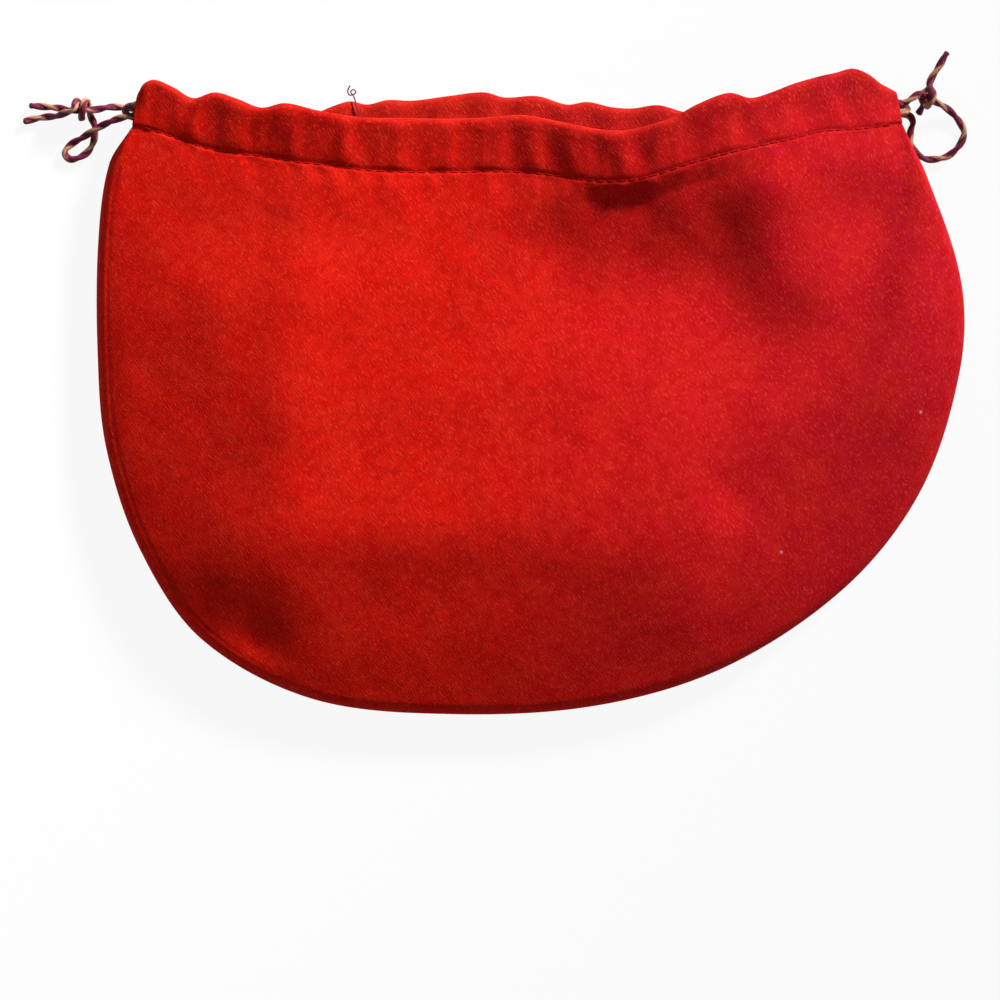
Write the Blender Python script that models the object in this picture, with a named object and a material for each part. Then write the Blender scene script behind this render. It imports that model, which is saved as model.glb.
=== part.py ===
"""A soft drawstring pouch that lies on its back with its mouth a little open.

Two cloth panels are sewn together round a lopsided, D-shaped bottom. The top of each panel is
folded over into a casing, and two cords run through both casings and come out at the ends.
+X runs to the right along the mouth, +Y points out of the mouth and +Z points up.
The back panel lies flat on z = 0. All sizes are in metres.
"""

import math

import bpy
import numpy as np

MM = 0.001

# Driving sizes
POUCH_WIDTH = 218 * MM
POUCH_LENGTH = 163 * MM
CLOTH = 0.8 * MM
GAP = 0.3 * MM
CORD = 1.8 * MM
THREAD = 0.5 * MM
STRAY_THREAD = 0.35 * MM
CORD_CLEARANCE = 0.42 * MM
LANE_EASE = 0.2 * MM
CASING_DEPTH = 13.3 * MM
CASING_END_RUN = 18 * MM
SEAM_ALLOWANCE = 4 * MM
EDGE_RADIUS = 3 * MM
UNDER_ROLL = 7 * MM
PUFF = 12 * MM
FLANK_SLOPE = 0.43
CREASE = 1.6 * MM
MOUTH_FREE = 38.5 * MM
GATHER_HEIGHT = 0.7 * MM
GATHER_PITCH = 12 * MM
GATHER_DRIFT = 17 * MM
GATHER_REACH = 20 * MM
GATHER_ENDS = (3 * MM, 16 * MM)
STITCH_GROOVE = 0.6 * MM
FOLD_DEPTH = 4.2 * MM
MOUTH_LIFT = 16 * MM
HELD_EDGE = 10 * MM
END_REACH_FRONT = 5 * MM
END_REACH_BACK = 3 * MM
TUCKED_CORD = 4 * MM

# Worked out from them
TUNNEL = CORD + 2 * CORD_CLEARANCE
CASING_THICKNESS = TUNNEL + 2 * CLOTH
SEAM_HEIGHT = CASING_THICKNESS + GAP / 2
LANE = (CORD + GAP) / 2 + LANE_EASE
SIZE = np.array([POUCH_WIDTH, POUCH_LENGTH])

# The seam from the left end of the casing round the bottom to its right end, as shares of the size
SEAM = SIZE * np.array([
    (-0.458, 0.411), (-0.486, 0.356), (-0.499, 0.239), (-0.500, 0.065), (-0.490, -0.083),
    (-0.450, -0.242), (-0.379, -0.380), (-0.252, -0.472), (-0.092, -0.496), (0.080, -0.482),
    (0.229, -0.421), (0.367, -0.297), (0.452, -0.150), (0.4965, 0.034), (0.4985, 0.170),
    (0.459, 0.334), (0.429, 0.415),
])

# The gathered rim of the front, which sags in the middle, and of the back behind it
FRONT_RIM = SIZE * np.array([
    (-0.452, 0.461), (-0.445, 0.476), (-0.432, 0.482), (-0.410, 0.470), (-0.387, 0.453),
    (-0.362, 0.461), (-0.335, 0.450), (-0.308, 0.436), (-0.280, 0.442), (-0.243, 0.430),
    (-0.195, 0.419), (-0.146, 0.417), (-0.090, 0.416), (-0.044, 0.418), (-0.010, 0.421),
    (0.030, 0.411), (0.075, 0.398), (0.105, 0.395), (0.135, 0.403), (0.165, 0.417),
    (0.190, 0.435), (0.225, 0.452), (0.250, 0.445), (0.275, 0.455), (0.298, 0.468),
    (0.330, 0.482), (0.350, 0.489), (0.370, 0.4965), (0.387, 0.490), (0.402, 0.477),
    (0.413, 0.4705), (0.422, 0.4645),
])
BACK_RIM = SIZE * np.array([
    (-0.452, 0.458), (-0.440, 0.469), (-0.425, 0.470), (-0.387, 0.447), (-0.362, 0.454),
    (-0.308, 0.430), (-0.280, 0.437), (-0.252, 0.434), (-0.225, 0.447), (-0.208, 0.453),
    (-0.188, 0.448), (-0.165, 0.455), (-0.136, 0.454), (-0.095, 0.461), (-0.053, 0.467),
    (-0.029, 0.459), (0.009, 0.461), (0.043, 0.448), (0.067, 0.452), (0.095, 0.444),
    (0.119, 0.442), (0.149, 0.447), (0.184, 0.436), (0.225, 0.445), (0.250, 0.439),
    (0.298, 0.463), (0.346, 0.481), (0.370, 0.492), (0.387, 0.485), (0.406, 0.4695),
    (0.422, 0.4625),
])

# How high the rim of the front is lifted, as (place along the width, share of MOUTH_LIFT)
MOUTH_ARCH = [
    (-0.458, 0.0), (-0.40, 0.10), (-0.32, 0.32), (-0.24, 0.54), (-0.16, 0.63), (-0.08, 0.64),
    (0.0, 0.72), (0.08, 0.92), (0.16, 1.0), (0.225, 0.97), (0.28, 0.80), (0.36, 0.36), (0.429, 0.0),
]

# The stuffed front is flat on top and falls away in planes: a spot on the crease where each
# begins, the way it falls, and its slope
FACETS = [
    ((-0.274, -0.050), (-1.00, 0.04), 0.27),
    ((-0.050, -0.229), (-0.04, -1.00), 0.27),
    ((0.160, -0.216), (0.79, -0.61), 0.27),
    ((0.208, -0.029), (0.70, 0.71), 0.13),
]

# Ridges (above 0) and valleys (below 0) of the front: route, height as a share of FOLD_DEPTH,
# and half width to the left and to the right of the way that the route runs
FOLDS = [
    ([(0.04, 0.335), (0.10, 0.263), (0.154, 0.215), (0.197, 0.142), (0.321, 0.015)], -1.02, 25 * MM, 33 * MM),
    ([(0.288, 0.381), (0.275, 0.258), (0.329, 0.078)], 0.50, 13 * MM, 10 * MM),
    ([(0.185, 0.381), (0.171, 0.270), (0.207, 0.179)], 0.34, 7 * MM, 10 * MM),
    ([(-0.318, -0.270), (-0.318, -0.360), (-0.300, -0.463)], -0.35, 8 * MM, 12 * MM),
    ([(0.413, 0.35), (0.39, 0.156), (0.323, 0.0), (0.242, -0.145), (0.206, -0.228)], -0.58, 7 * MM, 10 * MM),
    ([(0.446, 0.205), (0.441, 0.052), (0.400, -0.117)], 0.20, 11 * MM, 8 * MM),
    ([(-0.430, 0.234), (-0.361, 0.092), (-0.290, -0.101)], 0.28, 14 * MM, 29 * MM),
]
FOLD_FADE = 16 * MM
FOLD_FROM_SEAM = 8 * MM
FOLD_FROM_STITCHING = 6 * MM
PULL_REACH = 5 * MM

# Mesh density
SEAM_STEPS = 38
MOUTH_STEPS = 54
FRONT_RINGS = (0.14, 0.28, 0.41, 0.53, 0.64, 0.74, 0.82, 0.89, 0.94, 0.973, 0.991, 1.0)
BACK_RINGS = (0.45, 0.85, 0.935, 0.975, 1.0)
MIDDLE = SIZE * np.array([0.02, -0.03])


def smooth_step(value, low, high):
    """0 below low, 1 above high and an even ease between them."""
    share = np.clip((value - low) / (high - low), 0, 1)
    return share * share * (3 - 2 * share)


def smooth_curve(points, count):
    """A number of points read from a smooth curve through the given ones."""
    points = np.asarray(points, float)
    gaps = np.linalg.norm(np.diff(points, axis=0), axis=1)
    knots = np.concatenate([[0], np.cumsum(gaps)])
    slopes = np.empty_like(points)
    slopes[1:-1] = (points[2:] - points[:-2]) / (knots[2:] - knots[:-2])[:, None]
    slopes[0] = (points[1] - points[0]) / gaps[0]
    slopes[-1] = (points[-1] - points[-2]) / gaps[-1]
    at = np.linspace(0, knots[-1], count)
    leg = np.clip(np.searchsorted(knots, at, side="right") - 1, 0, len(gaps) - 1)
    span = gaps[leg][:, None]
    s = ((at - knots[leg]) / gaps[leg])[:, None]
    start = (2 * s**3 - 3 * s**2 + 1) * points[leg] + (s**3 - 2 * s**2 + s) * span * slopes[leg]
    end = (3 * s**2 - 2 * s**3) * points[leg + 1] + (s**3 - s**2) * span * slopes[leg + 1]
    return start + end


def beside_route(places, route):
    """How far each place lies to the left of a route (to its right below 0), how far along the
    route its nearest point is, and the length of the route."""
    nearest = np.full(len(places), np.inf)
    beside = np.zeros(len(places))
    along = np.zeros(len(places))
    passed = 0.0
    for a, b in zip(route[:-1], route[1:]):
        leg = b - a
        length = np.linalg.norm(leg)
        share = np.clip((places - a) @ leg / length**2, 0, 1)
        gap = places - a - share[:, None] * leg
        away = np.linalg.norm(gap, axis=1)
        closer = away < nearest
        left = np.where(leg[0] * gap[:, 1] - leg[1] * gap[:, 0] >= 0, away, -away)
        nearest = np.where(closer, away, nearest)
        beside = np.where(closer, left, beside)
        along = np.where(closer, passed + share * length, along)
        passed += length
    return beside, along, passed


SEAM_LINE = smooth_curve(SEAM, 240)
LEFT_END, RIGHT_END = SEAM[0], SEAM[-1]


def inset_of(places):
    """How far inside the seam each place lies."""
    return np.abs(beside_route(places, SEAM_LINE)[0])


def near_ends(places, reach):
    """1 at the two ends of the casing, where the seam stops, and 0 well away from them."""
    left = np.linalg.norm(places - LEFT_END, axis=1)
    right = np.linalg.norm(places - RIGHT_END, axis=1)
    return np.exp(-((np.minimum(left, right) / reach) ** 2))


def rim_line(rim, x):
    """Height up the picture of a rim at each x."""
    line = smooth_curve(rim, 400)
    return np.interp(x, line[:, 0], line[:, 1])


def stitch_line(rim, x):
    """The stitching below a rim: a casing's depth under the rim's mean line, out to the seam."""
    line = smooth_curve(rim, 400)
    shifts = np.linspace(-12, 12, 13) * MM
    mean = np.mean([np.interp(x + shift, line[:, 0], line[:, 1]) for shift in shifts], axis=0)
    run = np.minimum(x - LEFT_END[0], RIGHT_END[0] - x)
    inner = smooth_step(run, 0, CASING_END_RUN)
    end = np.where(x < 0, LEFT_END[1], RIGHT_END[1])
    return end * (1 - inner) + (mean - CASING_DEPTH) * inner


def mouth_height(x):
    """Top of the front casing along the mouth."""
    arch = smooth_curve([(POUCH_WIDTH * place, MOUTH_LIFT * lift) for place, lift in MOUTH_ARCH], 300)
    lift = np.interp(x, arch[:, 0], arch[:, 1])
    return SEAM_HEIGHT + GAP / 2 + CASING_THICKNESS + np.maximum(lift, 0)


def gathers(x, below):
    """Puffs of gathered cloth between the pulls of the stitching, fading away below it."""
    wave = 0.5 + 0.5 * np.cos(2 * math.pi * x / GATHER_PITCH + 1.3 * np.sin(x / GATHER_DRIFT))
    ends = smooth_step(np.minimum(x - LEFT_END[0], RIGHT_END[0] - x), *GATHER_ENDS)
    return GATHER_HEIGHT * wave * ends * (1 - smooth_step(below, 0, GATHER_REACH))


def lower_of(a, b, ease):
    """The lower of two heights, eased where they cross."""
    blend = np.clip(0.5 + (b - a) / (2 * ease), 0, 1)
    return b * (1 - blend) + a * blend - ease * blend * (1 - blend)


def crown(places):
    """Height of the stuffed front over its edge: a flat top that falls away in planes."""
    height = np.full(len(places), PUFF)
    for spot, heading, slope in FACETS:
        heading = np.array(heading) / np.linalg.norm(heading)
        plane = PUFF - slope * ((places - SIZE * np.array(spot)) @ heading)
        height = lower_of(height, plane, CREASE)
    return height


def front_top(places):
    """Height of the outer face of the stuffed front panel."""
    x, y = places[:, 0], places[:, 1]
    inset = inset_of(places)
    rim_corner = 1 - np.clip(inset / EDGE_RADIUS, 0, 1)
    edge = SEAM_HEIGHT + GAP / 2 + 0.9 * MM + 2.3 * MM * near_ends(places, END_REACH_FRONT)
    edge = edge + EDGE_RADIUS * np.sqrt(1 - rim_corner**2)
    puff = lower_of(crown(places), FLANK_SLOPE * inset, 3 * MM)
    below = stitch_line(FRONT_RIM, x) - y
    arch = mouth_height(x) - STITCH_GROOVE
    held = smooth_step(inset, 0, HELD_EDGE)
    at_mouth = arch * held + np.minimum(edge + puff, arch) * (1 - held)
    free = smooth_step(below, -2 * MM, MOUTH_FREE)
    top = (edge + puff) * free + at_mouth * (1 - free)
    for route, share, left, right in FOLDS:
        route = smooth_curve(SIZE * np.array(route), 24)
        beside, along, length = beside_route(places, route)
        width = np.where(beside > 0, left, right)
        fade = smooth_step(along, 0, FOLD_FADE) * smooth_step(length - along, 0, FOLD_FADE)
        inside = smooth_step(inset, 0, FOLD_FROM_SEAM) * smooth_step(below, 0, FOLD_FROM_STITCHING)
        top = top + share * FOLD_DEPTH * np.exp(-((beside / width) ** 2)) * fade * inside
    pulled = gathers(x, below) * smooth_step(below, 0, PULL_REACH) * held
    return top + pulled


def back_bottom(places):
    """Height of the outer face of the back panel: flat, and rolled up to the seam."""
    inset = inset_of(places)
    end = near_ends(places, END_REACH_BACK)
    edge = (SEAM_HEIGHT - GAP / 2 - 0.4 * MM) * (1 - end) + 0.8 * MM * end
    return edge * np.clip(1 - inset / UNDER_ROLL, 0, 1) ** 1.3


def wall(height, places):
    """Cloth thickness measured straight up, on a face that slopes."""
    step = 0.2 * MM
    dx = height(places + [step, 0]) - height(places - [step, 0])
    dy = height(places + [0, step]) - height(places - [0, step])
    slope = np.hypot(dx, dy) / (2 * step)
    return CLOTH * np.sqrt(1 + np.minimum(slope, 1.2) ** 2)


def casing_section(depth):
    """The folded casing, cut across: outer loop from the stitching over the rim and back, and
    the tunnel inside it. Each point is (along from the stitching, share of the thickness inwards,
    share of a gather on the front, share of a gather on the back)."""
    far, near = depth - 1.5 * MM, CLOTH + 0.6 * MM
    outer = [
        (near, 0.0, 0.6, 0), (depth / 2, 0.0, 1, 0), (far, 0.0, 0.6, 0), (depth, 0.32, 0, 0),
        (depth, 0.68, 0, 0), (far, 1.0, 0, 0.6), (depth / 2, 1.0, 0, 1), (near, 1.0, 0, 0.6),
        (0.2 * MM, 0.62, 0, 0),
    ]
    ply = CLOTH / CASING_THICKNESS
    inner_far, inner_near = far - 0.3 * MM, near + 0.5 * MM
    tunnel = [
        (near - 0.4 * MM, 0.42, 0, 0), (inner_near, ply, 0.6, 0), (depth / 2, ply, 1, 0),
        (inner_far, ply, 0.6, 0), (depth - CLOTH, 0.38, 0, 0), (depth - CLOTH, 0.62, 0, 0),
        (inner_far, 1 - ply, 0, 0.6), (depth / 2, 1 - ply, 0, 1), (inner_near, 1 - ply, 0, 0.6),
        (near - 0.4 * MM, 0.58, 0, 0), (near - 0.45 * MM, 0.5, 0, 0),
    ]
    return outer, tunnel


def mouth_columns(rim):
    """Matching points on the stitching and on the rim, from left to right."""
    share = np.linspace(0, 1, MOUTH_STEPS + 1)
    stitch_x = LEFT_END[0] + share * (RIGHT_END[0] - LEFT_END[0])
    stitch = np.stack([stitch_x, stitch_line(rim, stitch_x)], axis=1)
    rim_x = rim[0, 0] + share * (rim[-1, 0] - rim[0, 0])
    return stitch, np.stack([rim_x, rim_line(rim, rim_x)], axis=1)


def make_object(name, vertices, faces, material):
    """A mesh object with one material and smooth faces."""
    mesh = bpy.data.meshes.new(name)
    mesh.from_pydata([tuple(v) for v in vertices], [], faces)
    mesh.shade_smooth()
    mesh.materials.append(material)
    thing = bpy.data.objects.new(name, mesh)
    bpy.context.collection.objects.link(thing)
    return thing


def make_material(name, color, roughness):
    """A plain finish that is not metal."""
    material = bpy.data.materials.new(name)
    material.use_nodes = True
    shader = material.node_tree.nodes["Principled BSDF"]
    shader.inputs["Base Color"].default_value = (*color, 1)
    shader.inputs["Roughness"].default_value = roughness
    shader.inputs["Metallic"].default_value = 0
    return material


def panel(name, is_front, material):
    """One cloth panel: the body, its turned-in seam allowance and the casing with its tunnel."""
    rim = FRONT_RIM if is_front else BACK_RIM
    rings = FRONT_RINGS if is_front else BACK_RINGS
    face = front_top if is_front else back_bottom
    inwards = -1 if is_front else 1
    crook = CLOTH + 0.2 * MM if is_front else CLOTH + 1.8 * MM
    stitch, lip = mouth_columns(rim)
    seam = smooth_curve(SEAM, SEAM_STEPS + 1)
    heading = np.gradient(seam, axis=0)
    heading /= np.linalg.norm(heading, axis=1)[:, None]
    inward = np.stack([-heading[:, 1], heading[:, 0]], axis=1)

    # One closed ring of columns: down the seam and back along the stitching
    edge = np.vstack([seam, stitch[-2:0:-1]])
    up = lip - stitch
    depth = np.linalg.norm(up, axis=1)
    up /= depth[:, None]
    inner_edge = np.vstack([seam + crook * inward, (stitch - 1.0 * MM * up)[-2:0:-1]])
    columns = len(edge)

    vertices = []
    faces = []

    def add(points, heights):
        first = len(vertices)
        vertices.extend(np.column_stack([points, heights]))
        return list(range(first, len(vertices)))

    def quad(a, b, c, d):
        faces.append((a, b, c, d) if is_front else (d, c, b, a))

    # The body: an outer and an inner face, ring by ring round the middle
    layers = []
    for border, offset in ((edge, False), (inner_edge, True)):
        spots = MIDDLE[None]
        heights = face(spots) + (inwards * wall(face, spots) if offset else 0)
        layer = [add(spots, heights)]
        for share in rings:
            spots = MIDDLE + share * (border - MIDDLE)
            heights = face(spots) + (inwards * wall(face, spots) if offset else 0)
            layer.append(add(spots, heights))
        layers.append(layer)
    for layer, flip in zip(layers, (False, True)):
        for j in range(columns):
            k = (j + 1) % columns
            fan = (layer[0][0], layer[1][j], layer[1][k])
            faces.append(fan if flip != is_front else fan[::-1])
            for low, high in zip(layer[1:-1], layer[2:]):
                corners = (low[j], high[j], high[k], low[k])
                quad(*(corners[::-1] if flip else corners))
    outer_ring, inner_ring = layers[0][-1], layers[1][-1]

    # The seam allowance, turned in and pressed flat
    level = SEAM_HEIGHT - inwards * GAP / 2
    ply = level - inwards * CLOTH
    turned = [
        add(seam + 0.3 * MM * inward, np.full(len(seam), level)),
        add(seam + SEAM_ALLOWANCE * inward, np.full(len(seam), level)),
        add(seam + SEAM_ALLOWANCE * inward, np.full(len(seam), ply)),
        add(seam + crook * inward, np.full(len(seam), ply)),
    ]
    hem = [outer_ring[: SEAM_STEPS + 1], *turned, inner_ring[: SEAM_STEPS + 1]]
    for a, b in zip(hem[:-1], hem[1:]):
        for j in range(SEAM_STEPS):
            quad(a[j], b[j], b[j + 1], a[j + 1])
    first_cap = [line[0] for line in hem]
    last_cap = [line[-1] for line in hem]
    faces.append(first_cap[::-1] if is_front else first_cap)
    faces.append(last_cap if is_front else last_cap[::-1])

    # The casing, column by column from the left
    def mouth_index(ring, j):
        return ring[(columns - j) % columns]

    top = mouth_height(stitch[:, 0]) if is_front else np.zeros(MOUTH_STEPS + 1)
    puff = gathers(stitch[:, 0], np.zeros(MOUTH_STEPS + 1))
    sections, tunnels = [], []
    for j in range(MOUTH_STEPS + 1):
        outer, tunnel = casing_section(depth[j])
        made = []
        for loop in (outer, tunnel):
            loop = np.array(loop)
            spots = stitch[j] + loop[:, :1] * up[j]
            raised = puff[j] * (loop[:, 2] if is_front else loop[:, 3])
            heights = top[j] + inwards * CASING_THICKNESS * loop[:, 1] + raised
            made.append(add(spots, heights))
        sections.append([mouth_index(outer_ring, j), *made[0], mouth_index(inner_ring, j)])
        tunnels.append(made[1])
    for j in range(MOUTH_STEPS):
        for a in range(len(sections[0]) - 1):
            here, there = sections[j], sections[j + 1]
            quad(here[a], there[a], there[a + 1], here[a + 1])
        count = len(tunnels[0])
        for a in range(count):
            b = (a + 1) % count
            quad(tunnels[j][b], tunnels[j + 1][b], tunnels[j + 1][a], tunnels[j][a])
    for j, flip in ((0, False), (MOUTH_STEPS, True)):
        count = len(tunnels[j])
        for a in range(count):
            b = (a + 1) % count
            corners = (sections[j][a], sections[j][b], tunnels[j][b], tunnels[j][a])
            quad(*(corners[::-1] if flip else corners))
    return make_object(name, vertices, faces, material)


def cord(name, points, diameter, material, sides=2):
    """A round cord or thread along the given points, with closed ends."""
    data = bpy.data.curves.new(name, "CURVE")
    data.dimensions = "3D"
    data.bevel_depth = diameter / 2
    data.bevel_resolution = sides
    data.use_fill_caps = True
    data.twist_mode = "MINIMUM"
    data.materials.append(material)
    spline = data.splines.new("POLY")
    spline.points.add(len(points) - 1)
    for place, point in zip(spline.points, points):
        place.co = (*point, 1)
    thing = bpy.data.objects.new(name, data)
    bpy.context.collection.objects.link(thing)
    return thing


def lane(is_front, side):
    """Centre of a cord in a casing, from left to right: side +1 lies nearer the rim, -1 nearer
    the stitching."""
    stitch, lip = mouth_columns(FRONT_RIM if is_front else BACK_RIM)
    middle = (stitch + lip) / 2
    heading = np.gradient(middle, axis=0)
    heading /= np.linalg.norm(heading, axis=1)[:, None]
    spots = middle + side * LANE * np.stack([-heading[:, 1], heading[:, 0]], axis=1)
    if is_front:
        heights = mouth_height(stitch[:, 0]) - CASING_THICKNESS / 2
    else:
        heights = np.full(len(spots), CASING_THICKNESS / 2)
    return np.column_stack([spots, heights])


def tucked_run(is_front, side, at_left, at_right):
    """The part of a lane between two places inside the casing, with a point every second column."""
    line = lane(is_front, side)
    return line[(line[:, 0] > at_left) & (line[:, 0] < at_right)][::2]


def turn(start, end, out):
    """Half a circle from one lane's end to another's, standing out of the casing's end."""
    middle = (start + end) / 2
    arm = (start - end) / 2
    angle = np.linspace(0, math.pi, 9)[:, None]
    reach = np.array([out * np.linalg.norm(arm), 0, 0])
    return middle + np.cos(angle) * arm + np.sin(angle) * reach


def lane_end(is_front, side, at_left, inside=0.0):
    """The point of a lane a given way inside the end of the casing."""
    line = lane(is_front, side)
    x = line[0, 0] + inside if at_left else line[-1, 0] - inside
    return np.array([x, np.interp(x, line[:, 0], line[:, 1]), np.interp(x, line[:, 0], line[:, 2])])


def drawcord_run(name, side_front, side_back, exits_left, material):
    """A cord held in both casings: in at one end, turned at the other, and back out beside it."""
    inside = TUCKED_CORD + 2 * GAP
    left, right = LEFT_END[0] + 3 * MM, RIGHT_END[0] - 3 * MM
    if exits_left:
        left = lane_end(True, side_front, True, inside)[0] + CORD
        front = tucked_run(True, side_front, left, right)
        back = tucked_run(False, side_back, left, right)
        bend = turn(lane_end(False, side_back, False), lane_end(True, side_front, False), 1)
        ends = (lane_end(False, side_back, True, inside), lane_end(True, side_front, True, inside))
        points = np.vstack([ends[0][None], back, bend, front[::-1], ends[1][None]])
    else:
        right = lane_end(True, side_front, False, inside)[0] - CORD
        front = tucked_run(True, side_front, left, right)
        back = tucked_run(False, side_back, left, right)
        bend = turn(lane_end(True, side_front, True), lane_end(False, side_back, True), -1)
        ends = (lane_end(True, side_front, False, inside), lane_end(False, side_back, False, inside))
        points = np.vstack([ends[0][None], front[::-1], bend, back, ends[1][None]])
    return cord(name, points, CORD, material, 1)


# Routes of the free cords beyond their exits, in millimetres from the exit, and height above the
# floor. The knots are wraps of one cord round the other.
UPPER_LEFT_ROUTE = [
    (-3.0, 0.2, 2.0), (-6.5, 0.3, 2.3), (-10.0, -0.4, 3.0), (-13.3, -0.5, 3.2), (-16.6, -0.5, 2.6),
    (-19.5, 0.1, 1.4), (-23.0, 0.5, 1.0), (-27.2, 0.8, 1.0),
]
LOWER_LEFT_START = [
    (-3.0, -2.7, 5.9), (-5.9, -3.5, 4.9), (-8.5, -4.6, 3.9), (-10.8, -5.8, 3.2),
    (-13.4, -7.3, 2.0), (-16.4, -8.9, 1.0), (-18.2, -11.0, 1.0), (-16.9, -12.8, 1.0),
    (-14.4, -12.3, 1.0), (-12.2, -10.8, 1.0), (-10.9, -8.4, 0.95), (-10.5, -5.8, 0.95),
    (-10.7, -3.8, 0.95), (-11.5, -2.2, 0.95),
]
KNOT_AT_LEFT = (-13.6, -0.5, 3.2)
LOWER_LEFT_END = [
    (-17.7, -1.4, 4.4), (-20.0, -2.0, 2.7), (-23.0, -2.1, 1.1), (-26.0, -2.6, 1.0),
    (-28.7, -3.3, 1.0),
]
RIGHT_LOOP_ROUTE = [
    (1.4, 0.1, 6.4), (3.1, 1.2, 6.5), (4.8, 2.2, 6.1), (6.6, 1.9, 5.4), (8.6, 0.9, 4.4),
    (10.6, 0.0, 3.2), (12.7, -1.1, 2.0), (14.6, -2.8, 1.2), (16.2, -4.9, 1.0), (16.9, -7.0, 1.0),
    (16.2, -9.3, 1.0), (14.7, -11.3, 1.0), (12.6, -12.9, 1.0), (9.8, -13.6, 1.0),
    (7.0, -13.5, 1.0), (4.7, -11.9, 0.95), (3.3, -9.2, 0.95), (3.4, -6.4, 1.0),
    (3.9, -4.4, 1.4), (3.2, -2.9, 1.8), (1.6, -2.4, 2.0),
]
RIGHT_TIE_START = [(5.2, -2.4, 1.0), (5.9, -1.1, 1.2), (6.4, 0.2, 2.1)]
KNOT_AT_RIGHT = (7.5, 1.5, 4.95)
RIGHT_TIE_END = [
    (8.7, 3.4, 1.9), (8.1, 5.0, 1.1), (8.6, 6.7, 1.0), (9.7, 8.5, 1.0), (10.9, 10.4, 1.0),
    (12.0, 12.4, 1.0), (12.8, 13.6, 1.0),
]


def wrap(centre, heading, turns, start):
    """A coil of one cord round another that runs along a heading through the centre."""
    reach, pitch = CORD + GAP + 0.1 * MM, CORD + 0.5 * MM
    heading = np.array(heading) / np.linalg.norm(heading)
    side = np.array([-heading[1], heading[0], 0]) / np.hypot(heading[0], heading[1])
    up = np.cross(heading, side)
    share = np.linspace(0, 1, round(10 * abs(turns)) + 1)[:, None]
    angle = start + 2 * math.pi * turns * share
    slide = (share - 0.5) * abs(turns) * pitch
    return centre + slide * heading + reach * (np.cos(angle) * side + np.sin(angle) * up)


def clear_scene():
    for thing in list(bpy.data.objects):
        bpy.data.objects.remove(thing)


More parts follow.
